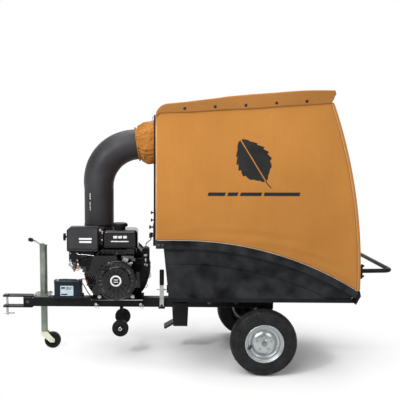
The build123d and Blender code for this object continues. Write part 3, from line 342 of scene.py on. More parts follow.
# ---------------------------------------------------------------- canvas
SIDES = (("near", -1), ("far", 1))
RIM_FLAT_X, RIM_TOP_Z, RIM_CURVE_R = -500, 830, 1960    # the tub's rim: level, then falling in an arc
SIDE_Y = 430                      # outside of the canvas sides
FRONT_X, FRONT_FOLD = -657, 12    # front panel, and the radius of its upright folds
PANEL_LOW_Z, PANEL_TOP_Z, FOLD_TOP_Z = RIM_TOP_Z + 1, 1566, 1570
BACK_X, BACK_R = 543, 3000        # rear edge, and the radius of its bow
BACK_BOW_Z, BACK_TOP_Z = 600, 1707
CROWN_X, CROWN_LENGTH = -582, 960    # where the front corner ends, and how long the top is behind it
CORNER_Z, CORNER_R = 1572, 63     # the front corner, in side view
INLET_Y, INLET_Z, INLET_R = 170, 1420, 130
FAR_SEED = 4.0                    # gives the far side creases of its own


def rim_z(x):
    dx = max(0.0, x - RIM_FLAT_X)
    return RIM_TOP_Z - RIM_CURVE_R + math.sqrt(RIM_CURVE_R ** 2 - dx ** 2)


def back_x(z):
    return BACK_X - BACK_R + math.sqrt(BACK_R ** 2 - max(0.0, z - BACK_BOW_Z) ** 2)


def crown_z(x):
    t = (x - CROWN_X) / CROWN_LENGTH
    return 1635 + 133.8 * t - 60.8 * t * t


def bump(t):
    """0 at both ends of 0..1, and 1 in the middle."""
    return math.sin(math.pi * min(1.0, max(0.0, t)))


def rumple(x, z, seed):
    """Soft creases in mm: broad lazy folds, and finer ones that run mostly upright."""
    broad = noise.noise(Vector((x / 330, z / 420, seed)))
    upright = noise.noise(Vector((x / 75, z / 330, seed + 7)))
    return 3.0 * broad + 1.5 * upright


def side_depth(x, z, seed=0.0):
    """How far in from SIDE_Y the canvas side lies: it sags between its frame bars."""
    low, high, back = rim_z(x), crown_z(x), back_x(z)
    u, v = (x - FRONT_X) / (back - FRONT_X), (z - low) / (high - low)
    slack = bump(u) ** 0.7 * bump(v) ** 0.7
    foot = max(0.0, 1 - abs(v - 0.07) / 0.10) * min(1.0, v / 0.04)
    pulls = 5.5 * math.sin((z - low) / 12 - x / 85) * (0.25 + 0.75 * u) + 2 * math.sin((x - 0.6 * z) / 38)
    tension = pulls * foot
    return 5.5 * slack + rumple(x, z, seed) * slack ** 0.5 + 0.9 * tension * bump(u) ** 0.6


def on_side(x, z, side, out):
    """A point that lies out mm clear of one canvas side's middle surface."""
    return (x, side * (SIDE_Y + out - side_depth(x, z, 0 if side < 0 else FAR_SEED)), z)


def side_point(s, v):
    """A point of the canvas side, s from front to rear and v from the tub's rim to the top."""
    first, last, radius = FRONT_X + FRONT_FOLD, back_x(BACK_TOP_Z), CORNER_R
    turn = radius * math.pi / 2
    length = turn + last - (first + radius)

    def top(share):
        d = share * length
        if d < turn:
            return first + radius - radius * math.cos(d / radius), CORNER_Z + radius * math.sin(d / radius)
        x = first + radius + d - turn
        return x, crown_z(x)
    x_low = first + (BACK_X - first) * s
    x_top, z_top = top(s)
    z_back = rim_z(BACK_X) + (top(1)[1] - rim_z(BACK_X)) * v
    slip = back_x(z_back) - ((1 - v) * BACK_X + v * last)
    return (1 - v) * x_low + v * x_top + s * slip, (1 - v) * (rim_z(x_low) + 1) + v * z_top


def shell_fold(v):
    """The near upright fold between side and front panel, at one level."""
    steps = 5
    points = []
    for j in range(1, steps + 1):
        a = math.pi / 2 * j / (steps + 1)
        x, y = FRONT_X + FRONT_FOLD * (1 - math.sin(a)), SIDE_Y - FRONT_FOLD * (1 - math.cos(a))
        points.append((x, -y, PANEL_LOW_Z + (FOLD_TOP_Z - PANEL_LOW_Z) * v))
    return points


def shell_panel(v):
    """The front panel at one level, flat round the inlet and slack elsewhere."""
    steps = 84
    points = []
    for j in range(steps + 1):
        y = (SIDE_Y - FRONT_FOLD) * (2 * j / steps - 1)
        z = PANEL_LOW_Z + (PANEL_TOP_Z - PANEL_LOW_Z) * v
        slack = bump(v) * bump(j / steps)
        near_hole = math.exp(-((math.hypot(y - INLET_Y, z - INLET_Z) - INLET_R) / 90) ** 2)
        points.append((FRONT_X + (4 * slack + rumple(y, z, 2.0) * slack) * (1 - near_hole), y, z))
    return points


def shell_row(v):
    """One level line: the near side from the rear, round the front, and back along the far side."""
    across = 100
    line = [side_point(1 - j / across, v) for j in range(across + 1)]
    near = [on_side(x, z, -1, 0) for x, z in line]
    far = [on_side(x, z, 1, 0) for x, z in line]
    fold = shell_fold(v)
    far_fold = [(x, -y, z) for x, y, z in reversed(fold)]
    return near + fold + shell_panel(v) + far_fold + list(reversed(far))


def rim_binding(name, side):
    line = [(x, side * (SIDE_Y + 2.0), rim_z(x) + 2) for x in (-650 + 1190 * k / 90 for k in range(91))]
    return tube(f"rim_binding_{name}", line, 1.7, BINDING, "collector", sides=8)


def corner_piping(name, side):
    line = [(FRONT_X + 2.5, side * (SIDE_Y - 2), 836 + 730 * k / 24) for k in range(25)]
    return tube(f"piping_{name}", line, 2.2, PIPING, "collector")


def side_seams(name, side):
    """The stitching along the foot and the rear edge of one side."""
    hem = [side_point(k / 60, 0.028) for k in range(1, 60)]
    edge = [side_point(0.985, 0.03 + 0.9 * k / 60) for k in range(61)]
    return [stitches(f"{label}_{name}", [on_side(x, z, side, 1.1) for x, z in line])
            for label, line in (("hem_stitches", hem), ("edge_stitches", edge))]


def canvas_shell():
    """The near side, front and far side: one sheet that goes round the two front corners."""
    levels = 76
    rows = [shell_row(i / levels) for i in range(levels + 1)]
    shell = grid("canvas_shell", rows, CANVAS, "collector",
                 hole=lambda p: p[0] < FRONT_X + 8 and math.hypot(p[1] - INLET_Y, p[2] - INLET_Z) < INLET_R)
    thicken(shell, 1.6)
    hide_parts("cover_side_near", "cover_side_far", "cover_front")
    trim = [rim_binding(name, side) for name, side in SIDES]
    trim += [corner_piping(name, side) for name, side in SIDES]
    trim += [seam for name, side in SIDES for seam in side_seams(name, side)]


def stitches(name, line, stitch=7.0, gap=4.0):
    """Short thread dashes laid along a line of points."""
    points, faces, carry = [], [], 0.0
    for a, b in zip(line, line[1:]):
        start, end = Vector(a), Vector(b)
        length = (end - start).length
        ahead = (end - start).normalized()
        up = Vector((-ahead.z, 0, ahead.x)) if abs(ahead.y) < 0.7 else Vector((0, 0, 1))
        d = carry
        while d + stitch <= length:
            p, q = start + ahead * d, start + ahead * (d + stitch)
            base = len(points)
            points += [tuple(p + up), tuple(q + up), tuple(q - up), tuple(p - up)]
            faces.append((base, base + 1, base + 2, base + 3))
            d += stitch + gap
        carry = max(0.0, d - length)
    return piece(name, points, faces, THREAD, "collector", smooth=False)


CAP_GAP = 3.4                     # the cap lies this far outside the canvas below it


def cap_top(x):
    """The cap's top line in side view: low behind the front corner, and fullest towards the rear."""
    return crown_z(x) + CAP_GAP - 5.5 * bump((x + 575) / 330) + 4 * bump((x - 40) / 340)


def flap_low(x):
    """The flap's lower edge, which is a little wavy and turns up at the rear."""
    t = x + 492
    rise = 45 * max(0.0, (x - 350) / 29) ** 2
    return 1588 + 0.045 * t + 1.6e-5 * t * t + 1.3 * math.sin(x / 57) + rise


def cap_stations():
    """(x, z) of the cap's middle line from the front lip to the rear edge."""
    radius, rear = 75 + CAP_GAP, CROWN_X + CROWN_LENGTH
    lip = [(FRONT_X - CAP_GAP, z) for z in (1542, 1548, 1554)]
    turn = [(CROWN_X - radius * math.cos(a), 1560 + radius * math.sin(a))
            for a in (math.pi / 2 * k / 12 for k in range(13))]
    crown = [(x, cap_top(x)) for x in (CROWN_X + CROWN_LENGTH * k / 110 for k in range(1, 111))]
    return lip + turn + crown + [(rear + 2, cap_top(rear) - 4), (rear + 2.5, cap_top(rear) - 12)]


CAP_HALF, CAP_FOLD = SIDE_Y + 4, 9    # half the cap's width, and the radius of its folded edges


def cap_low(x, z):
    """The flap's lower edge: no higher than the cap's top or the canvas's rounded front corner."""
    low = min(flap_low(x), z - 2.5)
    if x < CROWN_X:
        low = min(low, CORNER_Z + math.sqrt(max(0.0, CORNER_R ** 2 - (x - CROWN_X) ** 2)) - 6)
    return low


def cap_flap(x, z, side):
    """One flap at one station, from its lower edge up and over the fold."""
    low, points = cap_low(x, z), []
    for k in range(9):
        t = k / 8
        height = low + (z - CAP_FOLD - low) * t if z - CAP_FOLD > low else low + (z - low) * 0.5 * t
        flare = (1 - t) * (1.6 + 1.8 * noise.noise(Vector((x / 70, side * 3.0, 1.0))))
        points.append((x, side * (CAP_HALF + flare), height))
    top_of_side = points[-1][2]
    for k in range(1, 5):
        a = math.pi / 2 * k / 4
        points.append((x, side * (CAP_HALF - CAP_FOLD * (1 - math.cos(a))),
                       top_of_side + (z - top_of_side) * math.sin(a)))
    return points


def cap_middle(x, z):
    """The cap between its two folds at one station, sagging between the frame's bars."""
    points = []
    for k in range(1, 60):
        y = (CAP_HALF - CAP_FOLD) * (2 * k / 60 - 1)
        between_bars = 5 * abs(math.sin((x - CROWN_X) / 460 * math.pi))
        sag = bump(k / 60) * (between_bars + 1.2 * noise.noise(Vector((x / 90, y / 90, 5.0))))
        points.append((x, y, z - (sag if x > -560 else 0)))
    return points


def snap(name, number, x, side):
    """A press stud on the flap."""
    dome = [(0.01, -4.2), (2.4, -4.0), (4.6, -3.0), (6.2, -1.6), (8.4, -1.2), (8.8, 0), (8.8, 1.0)]
    centre = (x, side * (CAP_HALF + 2.2), flap_low(x) + 22)
    return turned(f"snap_{name}_{number}", [(r, -side * d) for r, d in dome], centre, MARK_BLACK, "collector",
                  steps=24)


def flap_seam(name, side, offset, flare):
    """A row of stitches that follows the flap's lower edge."""
    line = [(x, side * (CAP_HALF + flare), flap_low(x) + offset)
            for x in (-618 + 960 * k / 100 for k in range(101))]
    return stitches(f"flap_stitches_{name}_{offset}", line)


def canvas_cap():
    """The top sheet, folded down over both sides as a flap with a hem and snaps."""
    rows = []
    for x, z in cap_stations():
        rows.append(cap_flap(x, z, -1) + cap_middle(x, z) + list(reversed(cap_flap(x, z, 1))))
    cap = grid("canvas_cap", rows, FLAP_CANVAS, "collector")
    thicken(cap, 1.6)
    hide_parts("cover_top")
    trim = []
    for name, side in SIDES:
        trim += [flap_seam(name, side, offset, flare) for offset, flare in ((7, 2.8), (34, 1.4))]
        trim += [snap(name, number, x, side) for number, x in enumerate((-490, -313, -136, 41, 215), 1)]


def collar_radius(t):
    """The sleeve's mean radius, t of the way from chute to panel.  It is drawn in near the chute."""
    along = [(0.0, 112), (0.03, 115), (0.07, 108), (0.10, 106), (0.13, 108), (0.2, 119), (0.3, 129),
             (0.42, 136), (0.55, 140), (0.68, 143), (0.8, 145), (0.9, 147), (1.0, 147)]
    after = next(k for k in range(1, len(along)) if along[k][0] >= t)
    (t0, r0), (t1, r1) = along[after - 1], along[after]
    return r0 + (r1 - r0) * (t - t0) / (t1 - t0)


def collar():
    """The ruched cloth sleeve between the chute's mouth and the front panel."""
    start, end = Vector((-789.8, 170, 1405.2)), Vector((FRONT_X - 1, INLET_Y, INLET_Z))
    rows, count = [], 260
    for step in range(37):
        t = step / 36
        radius = collar_radius(t)
        centre = start.lerp(end, t)
        lean = math.radians(9) * (1 - t)
        up = Vector((-math.sin(lean), 0, math.cos(lean)))
        row = []
        for i in range(count):
            a = 2 * math.pi * i / count
            ring = Vector((math.cos(a), math.sin(a), 0))
            drift = 0.22 * noise.noise(ring * 2.2 + Vector((0, 0, t * 1.6)))
            swirl = a + drift + 0.35 * t * math.sin(3 * a + 1)
            pleat = 1 - 1.7 * abs(math.sin(11.5 * swirl)) ** 0.8
            crush = noise.noise(ring * 3.1 + Vector((4, 2, t * 3.4)))
            crush += 0.5 * noise.noise(ring * 7 + Vector((1, 5, t * 8)))
            gathered = 0.07 < t < 0.13
            depth = 5.0 if t <= 0.07 else 8.0 * (1 - 0.75 * t)
            if gathered:
                r = radius + 1.5 * math.sin(23 * swirl)
            else:
                r = radius + depth * pleat * min(1.0, 25 * (1 - t)) + 11 * crush * bump(t) ** 0.7
            row.append(tuple(centre + Vector((0, 1, 0)) * (r * math.sin(a)) + up * (r * math.cos(a))))
        rows.append(row)
    # The last row turns out flat against the panel, where it is stitched down.
    rows.append([(FRONT_X - 1.6, INLET_Y + 156 * math.sin(2 * math.pi * i / count),
                  INLET_Z + 156 * math.cos(2 * math.pi * i / count)) for i in range(count)])
    sleeve = grid("collar_sleeve", rows, COLLAR_CANVAS, "collector", closed=True)
    thicken(sleeve, 1.4)
    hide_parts("inlet_collar")
    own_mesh(sleeve)


# How far out the door's cloth stands, half its width, and the radius of its folded edges.
DOOR_OUT, DOOR_HALF, DOOR_FOLD = 19.0, SIDE_Y - 1.0, 7
DOOR_LOW_Z, DOOR_TOP_Z = 538, 1633


def door_row(z, out, inner):
    """One level line of the door's cloth: inner is how far it sags between the door's bars."""
    base = back_x(z)
    edge = [(base + 2 + (out - DOOR_FOLD - 2) * k / 3, DOOR_HALF) for k in range(4)]
    edge += [(base + out - DOOR_FOLD + DOOR_FOLD * math.sin(a), DOOR_HALF - DOOR_FOLD * (1 - math.cos(a)))
             for a in (math.pi / 2 * k / 4 for k in range(1, 5))]
    row = [(x, -y, z) for x, y in edge]
    for k in range(1, 80):
        y = (DOOR_HALF - DOOR_FOLD) * (2 * k / 80 - 1)
        u = bump((y + 404) / 808) if abs(y) < 404 else 0
        row.append((base + out - inner * u ** 0.5 - 0.8 * rumple(y, z, 9.0) * u, y, z))
    return row + [(x, y, z) for x, y in reversed(edge)]


def door_sag(z):
    """How deep the cloth sags at one height: it is held at the door's bars."""
    for low, high in ((700, 1000), (1020, 1310), (1330, 1598)):
        if low < z < high:
            return 5.5 * bump((z - low) / (high - low)) ** 0.6
    return 0.0


def rear_cloth():
    """The rear door's cloth: it covers the hoop and is folded round its edges."""
    heights = [DOOR_LOW_Z + (DOOR_TOP_Z - DOOR_LOW_Z) * k / 90 for k in range(91)]
    rows = [door_row(534.5, 12.0, 0)]
    rows += [door_row(z, DOOR_OUT, door_sag(z)) for z in heights]
    rows += [door_row(1639, 17.5, 0), door_row(1642, 12, 0)]
    cloth = grid("door_cloth", rows, CANVAS, "rear_door")
    thicken(cloth, 1.4)
    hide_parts("door_panel")
    for name, side in SIDES:
        line = [(back_x(z) + 2.2, side * (DOOR_HALF + 0.6), z) for z in heights[::3]]
        tube(f"door_piping_{name}", line, 1.8, PIPING, "rear_door", sides=8)


# ---------------------------------------------------------------- marks on the canvas
def on_canvas(x, z, side):
    """A point just outside the canvas, where a printed mark lies."""
    return on_side(x, z, side, 1.3)


def leaf_mark(side):
    """A plain leaf: two toothed halves either side of a bare midrib, with a stalk."""
    cx, cz, tall, lean = -86, 1306, 285, math.radians(32 * -side)
    points, faces = [], []

    def put(u, w):
        x, z = u * math.cos(lean) - w * math.sin(lean), u * math.sin(lean) + w * math.cos(lean)
        points.append(on_canvas(cx + x, cz + z, side))
    steps = 54
    for half in (-1, 1):
        base = len(points)
        for k in range(steps + 1):
            t = k / steps
            tooth = 1 - 0.16 * ((t * 7) % 1)
            width = 106 * math.sin(math.pi * t ** 0.8) ** 0.85 * tooth
            for j in range(5):
                vein = -18 * (j / 4) if 0.03 < t < 0.97 else 0
                put(half * (3.2 + max(0.0, width - 3.2) * j / 4), (t - 0.5) * tall - vein * 0.6)
        for k in range(steps):
            for j in range(4):
                a = base + k * 5 + j
                faces.append((a, a + 1, a + 6, a + 5))
    base = len(points)
    for k in range(9):
        for u in (-3, 3):
            put(u + 6 * (k / 8) ** 2, -0.5 * tall - 52 * k / 8)
    faces += [(base + 2 * k, base + 2 * k + 1, base + 2 * k + 3, base + 2 * k + 2) for k in range(8)]
    return piece(f"leaf_mark_{'near' if side < 0 else 'far'}", points, faces, MARK_BLACK, "collector")


def stripe_marks(side):
    """Four slanted bars in a row below the leaf."""
    points, faces = [], []
    for x0, x1 in ((-352, -250), (-236, -176), (-162, -36), (-22, 188)):
        count = max(2, int((x1 - x0) / 12))
        for row in range(4):
            z = 1098 + 7 * row
            for k in range(count + 1):
                points.append(on_canvas(x0 + (x1 - x0) * k / count + 0.3 * (z - 1098), z, side))
        base = len(points) - 4 * (count + 1)
        for row in range(3):
            for k in range(count):
                a = base + row * (count + 1) + k
                faces.append((a, a + 1, a + count + 2, a + count + 1))
    return piece(f"stripe_marks_{'near' if side < 0 else 'far'}", points, faces, MARK_BLACK, "collector")


# ---------------------------------------------------------------- wheels
WHEEL_Z, TRACK = 203.5, 774


def crown_radius(across):
    """The tread's radius: it is round from side to side."""
    return 203.4 - 13 * (abs(across) / 44) ** 2.4


def tyre(label, side, body):
    ribs = []
    for across in (-31, -12, 12, 31):
        for edge, drop in ((-7.5, 0), (7.5, 0), (8.6, 5), (10.4, 5)):
            ribs.append((crown_radius(across + edge) - drop, across + edge))
    flank = [(116.5, 41.5), (118, 45.5), (122, 46.5), (126, 45.5), (129, 46.8), (145, 49.5), (148, 50.6),
             (151, 50.2), (164, 51.0), (168, 51.8), (171, 51.0), (178, 49.5), (184, 46.6), (189, 43.5)]
    profile = [(r, -a) for r, a in flank] + ribs + [(r, a) for r, a in reversed(flank)]
    rubber = turned(f"tyre_{label}", profile, (0, side * TRACK / 2, WHEEL_Z), TYRE, body, steps=120)
    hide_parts(f"road_wheel_{label}")


def tread_lugs(label, side, body):
    """The blocks along both shoulders of the tread, staggered from side to side."""
    y, count = side * TRACK / 2, 46
    lugs = []
    for i in range(count):
        for edge in (-1, 1):
            y0, y1 = sorted((y + edge * 40, y + edge * 49))
            turn = around(0, WHEEL_Z, (i + 0.25 * (1 + edge)) * 360 / count)
            lugs.append((-4.4, 4.4, y0, y1, WHEEL_Z + 176, WHEEL_Z + 191, turn))
    boxes(f"tread_lugs_{label}", lugs, TYRE, body, 1.0)


def rim(label, side, body):
    """The pressed rim's face, its back and the hub behind it.  The back is drawn in the frame's black, not
    the rim's silver: painted shade.
    """
    face = [(116, 43.0), (117.4, 45.6), (116.4, 47.8), (113.5, 48.6), (110.5, 47.4), (108.5, 43), (106, 38.5),
            (103, 36.5), (101, 37), (99.5, 34), (98.5, 27), (97.5, 20), (94, 15.5), (88, 13), (82, 13.2),
            (78, 15.8), (74.5, 20.5), (70, 26), (63, 31), (54, 35), (43, 38), (32, 39.6), (24, 40.2),
            (22, 42.2), (13, 42.8), (9.7, 42.8)]
    back = [(116, -43.0), (116.5, -46.2), (113, -47), (109, -41), (102, -36), (99, -20), (98, 10), (97, 17.0)]
    hub = [(9.7, -40), (26, -40), (26, -6), (60, 0), (70, 22)]
    centre = (0, side * TRACK / 2, WHEEL_Z)
    # The rim's back takes the frame's black instead of silver: painted shade.
    for name, profile, finish, steps in (("rim", face, RIM, 120), ("rim_back_painted_shade", back, FRAME, 96),
                                         ("hub", hub, FRAME, 72)):
        turned(f"{name}_{label}", [(r, side * d) for r, d in profile], centre, finish, body, steps=steps)


def lug_nuts(label, side, body):
    """Five hexagonal nuts with flat faces, each on the end of its stud."""
    profile = [(8.6, 0), (8.6, 5), (7.0, 8.2), (4.6, 8.2), (4.0, 11.5), (0.01, 11.8)]
    for k in range(5):
        a = math.radians(72 * k + 18)
        centre = (44 * math.cos(a), side * TRACK / 2 + side * 35.6, WHEEL_Z + 44 * math.sin(a))
        nut = turned(f"lug_nut_{label}_{k}", [(r, side * d) for r, d in profile], centre, STEEL, body,
                     steps=6)
        for flat in nut.data.polygons:
            flat.use_smooth = False


def road_wheel(label, side):
    body = f"road_wheel_{label}"
    tyre(label, side, body)
    tread_lugs(label, side, body)
    rim(label, side, body)
    lug_nuts(label, side, body)
    angle = math.radians(200)
    stem = [(r * math.cos(angle), side * TRACK / 2 + side * d, WHEEL_Z + r * math.sin(angle))
            for r, d in ((84, 11), (84.5, 20), (87, 30), (92, 38), (99, 44))]
    tube(f"valve_{label}", stem, 4.6, RUBBER, body)


# ---------------------------------------------------------------- engine details
SHAFT_X, SHAFT_Z = -912, 536      # the crankshaft
FAN_Z = SHAFT_Z - 4               # middle of the fan shroud's round front
SCROLL_X, SCROLL_Z, SCROLL_BOLT_R = -928, 530, 229


def recoil_details():
    """The starter's vents, plain badge and ribs."""
    vents = [(SHAFT_X + 84, SHAFT_X + 112, -193.5, -190, SHAFT_Z - 6, SHAFT_Z - 2,
              around(SHAFT_X, FAN_Z, 15 * k)) for k in range(24)]
    boxes("recoil_vents", vents, DULL_STEEL, "trailer", 1)
    ring = [(26, -218.2), (26, -219.4), (27, -219.8), (34.5, -219.8), (35.6, -219.2), (35.6, -217.4)]
    turned("badge_ring", ring, (SHAFT_X, 0, SHAFT_Z), WHITE, "trailer")
    turned("badge_middle", [(0.01, -218.6), (26.2, -218.6)], (SHAFT_X, 0, SHAFT_Z), ENGINE, "trailer")
    bars = [(SHAFT_X - 14, SHAFT_X + 14, -219.4, -218.5, z, z + 5) for z in (SHAFT_Z - 10, SHAFT_Z + 5)]
    boxes("badge_bars", bars, WHITE, "trailer", 0.2)
    ribs = [(SHAFT_X - 2, SHAFT_X + 2, -211.5, -206, SHAFT_Z + 50, SHAFT_Z + 80,
             around(SHAFT_X, SHAFT_Z, 360 * k / 14 + 12.8)) for k in range(14)]
    boxes("recoil_ribs", ribs, ENGINE, "trailer", 1.2)


def shroud_details():
    """The fan shroud's rolled lip and bolts, and the engine's feet."""
    lip = [(119, -190.5), (122, -193), (126.5, -192), (129.5, -187.5), (130.5, -180), (130.5, -112),
           (131.5, -107)]
    turned("shroud_lip", lip, (SHAFT_X, 0, FAN_Z), ENGINE, "trailer", steps=96)
    spots = [(SHAFT_X + 104 * math.cos(a), -190.2, FAN_Z + 104 * math.sin(a))
             for a in (math.radians(d) for d in (38, 142, 218, 322))]
    bolts("shroud_bolts", spots, 5.5, 6, DULL_STEEL, "trailer")
    bolts("mount_bolts", [(-1029, -92, 399), (-810, -92, 403)], 9, 12, STEEL, "trailer")
    feet = [(-1050, -1002, -96, -60, 387, 396), (-830, -786, -96, -60, 387, 396)]
    boxes("mount_feet", feet, FRAME, "trailer", 2)


def control_details():
    """Plates, rod, spring and pipes between the air cleaner, the tank and the fan shroud."""
    side_plates = [(-1072, -1012, -132, -126, 606, 634), (-800, -762, -118, -112, 470, 570)]
    boxes("side_plates", side_plates, ENGINE, "trailer", 2)
    # Two thin steel strips on the edges of black parts: painted highlights where those edges catch the light.
    edge_highlights = [(-1072, -1006, -134, -131, 626, 631, around(-1040, 628, 6)),
              (-868, -806, -136, -133, 668, 672, around(-840, 670, 14))]
    boxes("painted_highlight_edges", edge_highlights, STEEL, "trailer", 0.8)
    rod = [(-1170, -122, 690), (-1110, -126, 688), (-1040, -132, 680), (-985, -135, 672)]
    tube("throttle_rod", rod, 2.2, STEEL, "trailer")
    coil = [(-985 + 62 * k / 120, -137 + 4.5 * math.cos(k * 0.8), 672 + 4.5 * math.sin(k * 0.8))
            for k in range(121)]
    tube("governor_spring", coil, 0.9, STEEL, "trailer", sides=6)
    bracket = [(-880, -800, -139, -135, 664, 684), (-815, -790, -139, -120, 650, 668),
               (-930, -905, -139, -134, 690, 712)]
    boxes("control_bracket", bracket, DULL_STEEL, "trailer", 1.2)
    intake = [(-1166, -1060, -92, -60, 600, 706), (-1120, -1050, -100, -70, 570, 640)]
    boxes("intake_pipe", intake, PLASTIC, "trailer", 8)
    fuel = [(-985, -60, 728), (-1010, -112, 716), (-1040, -126, 690), (-1090, -124, 660), (-1140, -118, 650)]
    tube("fuel_line", fuel, 4.0, RUBBER, "trailer")
    lead = [(-1142, -10, 594), (-1160, -60, 600), (-1120, -110, 610), (-1060, -120, 596)]
    tube("plug_lead", lead, 3.5, RUBBER, "trailer")


def carburetor_details():
    x, y = -1193, -99
    bowl = [(0.01, 578), (7, 579), (9, 586), (15, 590), (17.5, 598), (18.4, 606), (18.4, 638)]
    turned("float_bowl", bowl, (x, y, 0), CAST, "trailer", axis="Z", steps=32)
    drain = [(0.01, 570), (5.5, 571), (5.5, 579)]
    turned("drain_screw", drain, (x, y, 0), BRASS, "trailer", axis="Z", steps=16)
    screws = [(-1216, -118.5, 696), (-1170, -118.5, 696), (-1216, -118.5, 650), (-1170, -118.5, 650)]
    bolts("carburetor_screws", screws, 3.6, 5, STEEL, "trailer")
    plate = [(-1214, -1196, -128, -119, 604, 622), (-1228, -1216, -122, -108, 612, 634)]
    boxes("choke_plate", plate, STEEL, "trailer", 1.2)
    link = [(-1206, -126, 612), (-1188, -130, 592), (-1168, -126, 584), (-1150, -118, 592)]
    tube("linkage", link, 2.4, BRASS, "trailer")
    boxes("insulator", [(-1176, -1160, -116, -82, 590, 612)], BRASS, "trailer", 1.5)


def small_fittings():
    """Louvres, brackets and levers, and thin arcs of lighter metal on the starter's face that are painted
    highlights.
    """
    louvres = [(-1010 + 9 * k, -1006 + 9 * k, -119, -116, 604, 640) for k in range(9)]
    boxes("shroud_louvres", louvres, ENGINE, "trailer", 0.8)
    top = [(-1028, -1016, -100, -90, 838, 852), (-1010, -1003, -112, -100, 822, 842),
           (-1012, -1004, -112, -100, 776, 788)]
    boxes("top_fittings", top, GALVANISED, "trailer", 2)
    levers = [(-872, -838, -141, -139, 640, 668, around(-850, 655, 25)),
              (-846, -806, -141, -139, 628, 640, around(-826, 634, -18))]
    boxes("lever_plate", levers, GALVANISED, "trailer", 1)
    switches = [(-738, -716, -27.5, -25, 662, 676), (-736, -726, -27.5, -25, 600, 612),
                (-722, -712, -27.5, -25, 596, 610)]
    boxes("switch_details", switches, GALVANISED, "trailer", 1)
    # Arcs of lighter metal on the black starter face: painted highlights where its curved face catches the
    # light.
    for index, (radius, start) in enumerate(((118, 100), (124, 128), (96, 60))):
        arc = [(SHAFT_X + radius * math.cos(math.radians(start + 3 * k)), -194.5,
                FAN_Z + radius * math.sin(math.radians(start + 3 * k))) for k in range(13)]
        tube(f"recoil_painted_highlight_{index}", arc, 1.4, DULL_STEEL, "trailer", sides=8)


def printed_marks():
    """Plain bars on the air cleaner and the tank, and the rib round the air cleaner's face."""
    stripes = [(-1159, -1076, -113.2, -111.6, 784, 796), (-1157, -1078, -113.2, -111.6, 764, 776)]
    boxes("filter_stripes", stripes, WHITE, "trailer", 0.3)
    rib = [(-1236, -113.6, 722), (-1236, -113.6, 846), (-1214, -113.6, 865), (-1038, -113.6, 865),
           (-1038, -113.6, 722)]
    tube("filter_rib", rib, 2.0, PLASTIC, "trailer", sides=8, loop=True)
    marks = [(x, x + width, -122, -120.2, 796, 812) for x, width in ((-934, 26), (-902, 24), (-870, 24))]
    marks.append((-950, -835, -122, -120.2, 772, 779))
    boxes("tank_marks", marks, WHITE, "trailer", 0.3)


def tank_and_scroll_details():
    """The filler's neck, two wire clips, and the bolts round the blower's scroll."""
    neck = [(31, 862), (30, 868), (30, 873)]
    turned("filler_neck", neck, (-896, -58, -20), ENGINE, "trailer", axis="Z", steps=40)
    for number, (x, z, r) in enumerate(((-716, 511, 24), (-733, 437, 17))):
        ring = [(x + r * math.cos(t), 84, z + r * math.sin(t))
                for t in (2 * math.pi * k / 40 for k in range(40))]
        tube(f"wire_clip_{number}", ring, 1.8, FRAME, "trailer", sides=8, loop=True)
    spots = [(SCROLL_X + SCROLL_BOLT_R * math.cos(a), 262, SCROLL_Z + SCROLL_BOLT_R * math.sin(a))
             for a in (math.radians(d) for d in range(-160, 81, 24))]
    bolts("scroll_bolts", spots, 5, 8, DULL_STEEL, "trailer")


def battery_label():
    boxes("battery_label", [(-1294, -1207, -61.9, -60.6, 395, 466)], LABEL, "trailer", 0.3)
    bars = [(-1288, -1262, -62.5, -61.6, 446, 458), (-1256, -1214, -62.5, -61.6, 450, 455),
            (-1256, -1222, -62.5, -61.6, 442, 446), (-1288, -1246, -62.5, -61.6, 404, 412)]
    boxes("battery_label_blocks", bars, BATTERY, "trailer", 0.2)


def chute_marks():
    """Two short columns of plain blocks, turned to face along the chute's near side."""
    there = Matrix.Translation((-1053, 170, 0))
    turn = there @ Matrix.Rotation(math.radians(-31.5), 4, "Z") @ there.inverted()
    blocks = [(-1056, -1050, 67.6, 69.5, 958 + 15 * k, 968 + 15 * k, turn) for k in range(8) if k != 4]
    boxes("chute_marks", blocks, WHITE, "trailer", 0.2)


def frame_bolts():
    bolts("hitch_bolts", [(-1520, -32.4, 349)], 8, 8, DULL_STEEL, "trailer")
    bolts("beam_bolts", [(-300, -32, 349), (-120, -32, 349)], 8, 8, DULL_STEEL, "trailer")
    bolts("rail_bolts", [(x, -395, 461) for x in (-540, -250, 110, 420)], 5, 5, FRAME, "collector")
    bolts("rim_bolts", [(-640, -440, 806), (-616, -440, 806)], 5, 5, DULL_STEEL, "collector")


def transport_wheel_nuts():
    """A domed nut on each end of the power unit's small axle."""
    dome = [(0.01, 14.5), (4, 14.5), (5, 12.5), (5.5, 11.8), (12, 11.6), (13.5, 10)]
    for label, side in SIDES:
        turned(f"wheel_nut_{label}", [(r, side * d) for r, d in dome], (-889, side * 150, 205), STEEL,
               f"unit_wheel_{label}", steps=32)


# ---------------------------------------------------------------- cords
RED_POINTS = [(-1170.4, -42, 502), (-1156, -45, 508), (-1140, -56, 514), (-1122, -74, 514), (-1108, -90, 504),
              (-1106, -96, 487.5)]
BLACK_POINTS = [(-1302.6, -42, 502), (-1284, -44, 508), (-1250, -52, 510), (-1200, -62, 508),
                (-1160, -72, 502), (-1136, -88, 484), (-1118, -98, 454), (-1100, -100, 424),
                (-1084, -98, 406), (-1080, -95, 388.2)]
CABLE_POINTS = [(-725, 12, 716), (-725, 8, 732), (-722, -20, 748), (-714, -60, 762), (-700, -90, 776),
                (-689, -102, 786), (-688, -102, 802)]


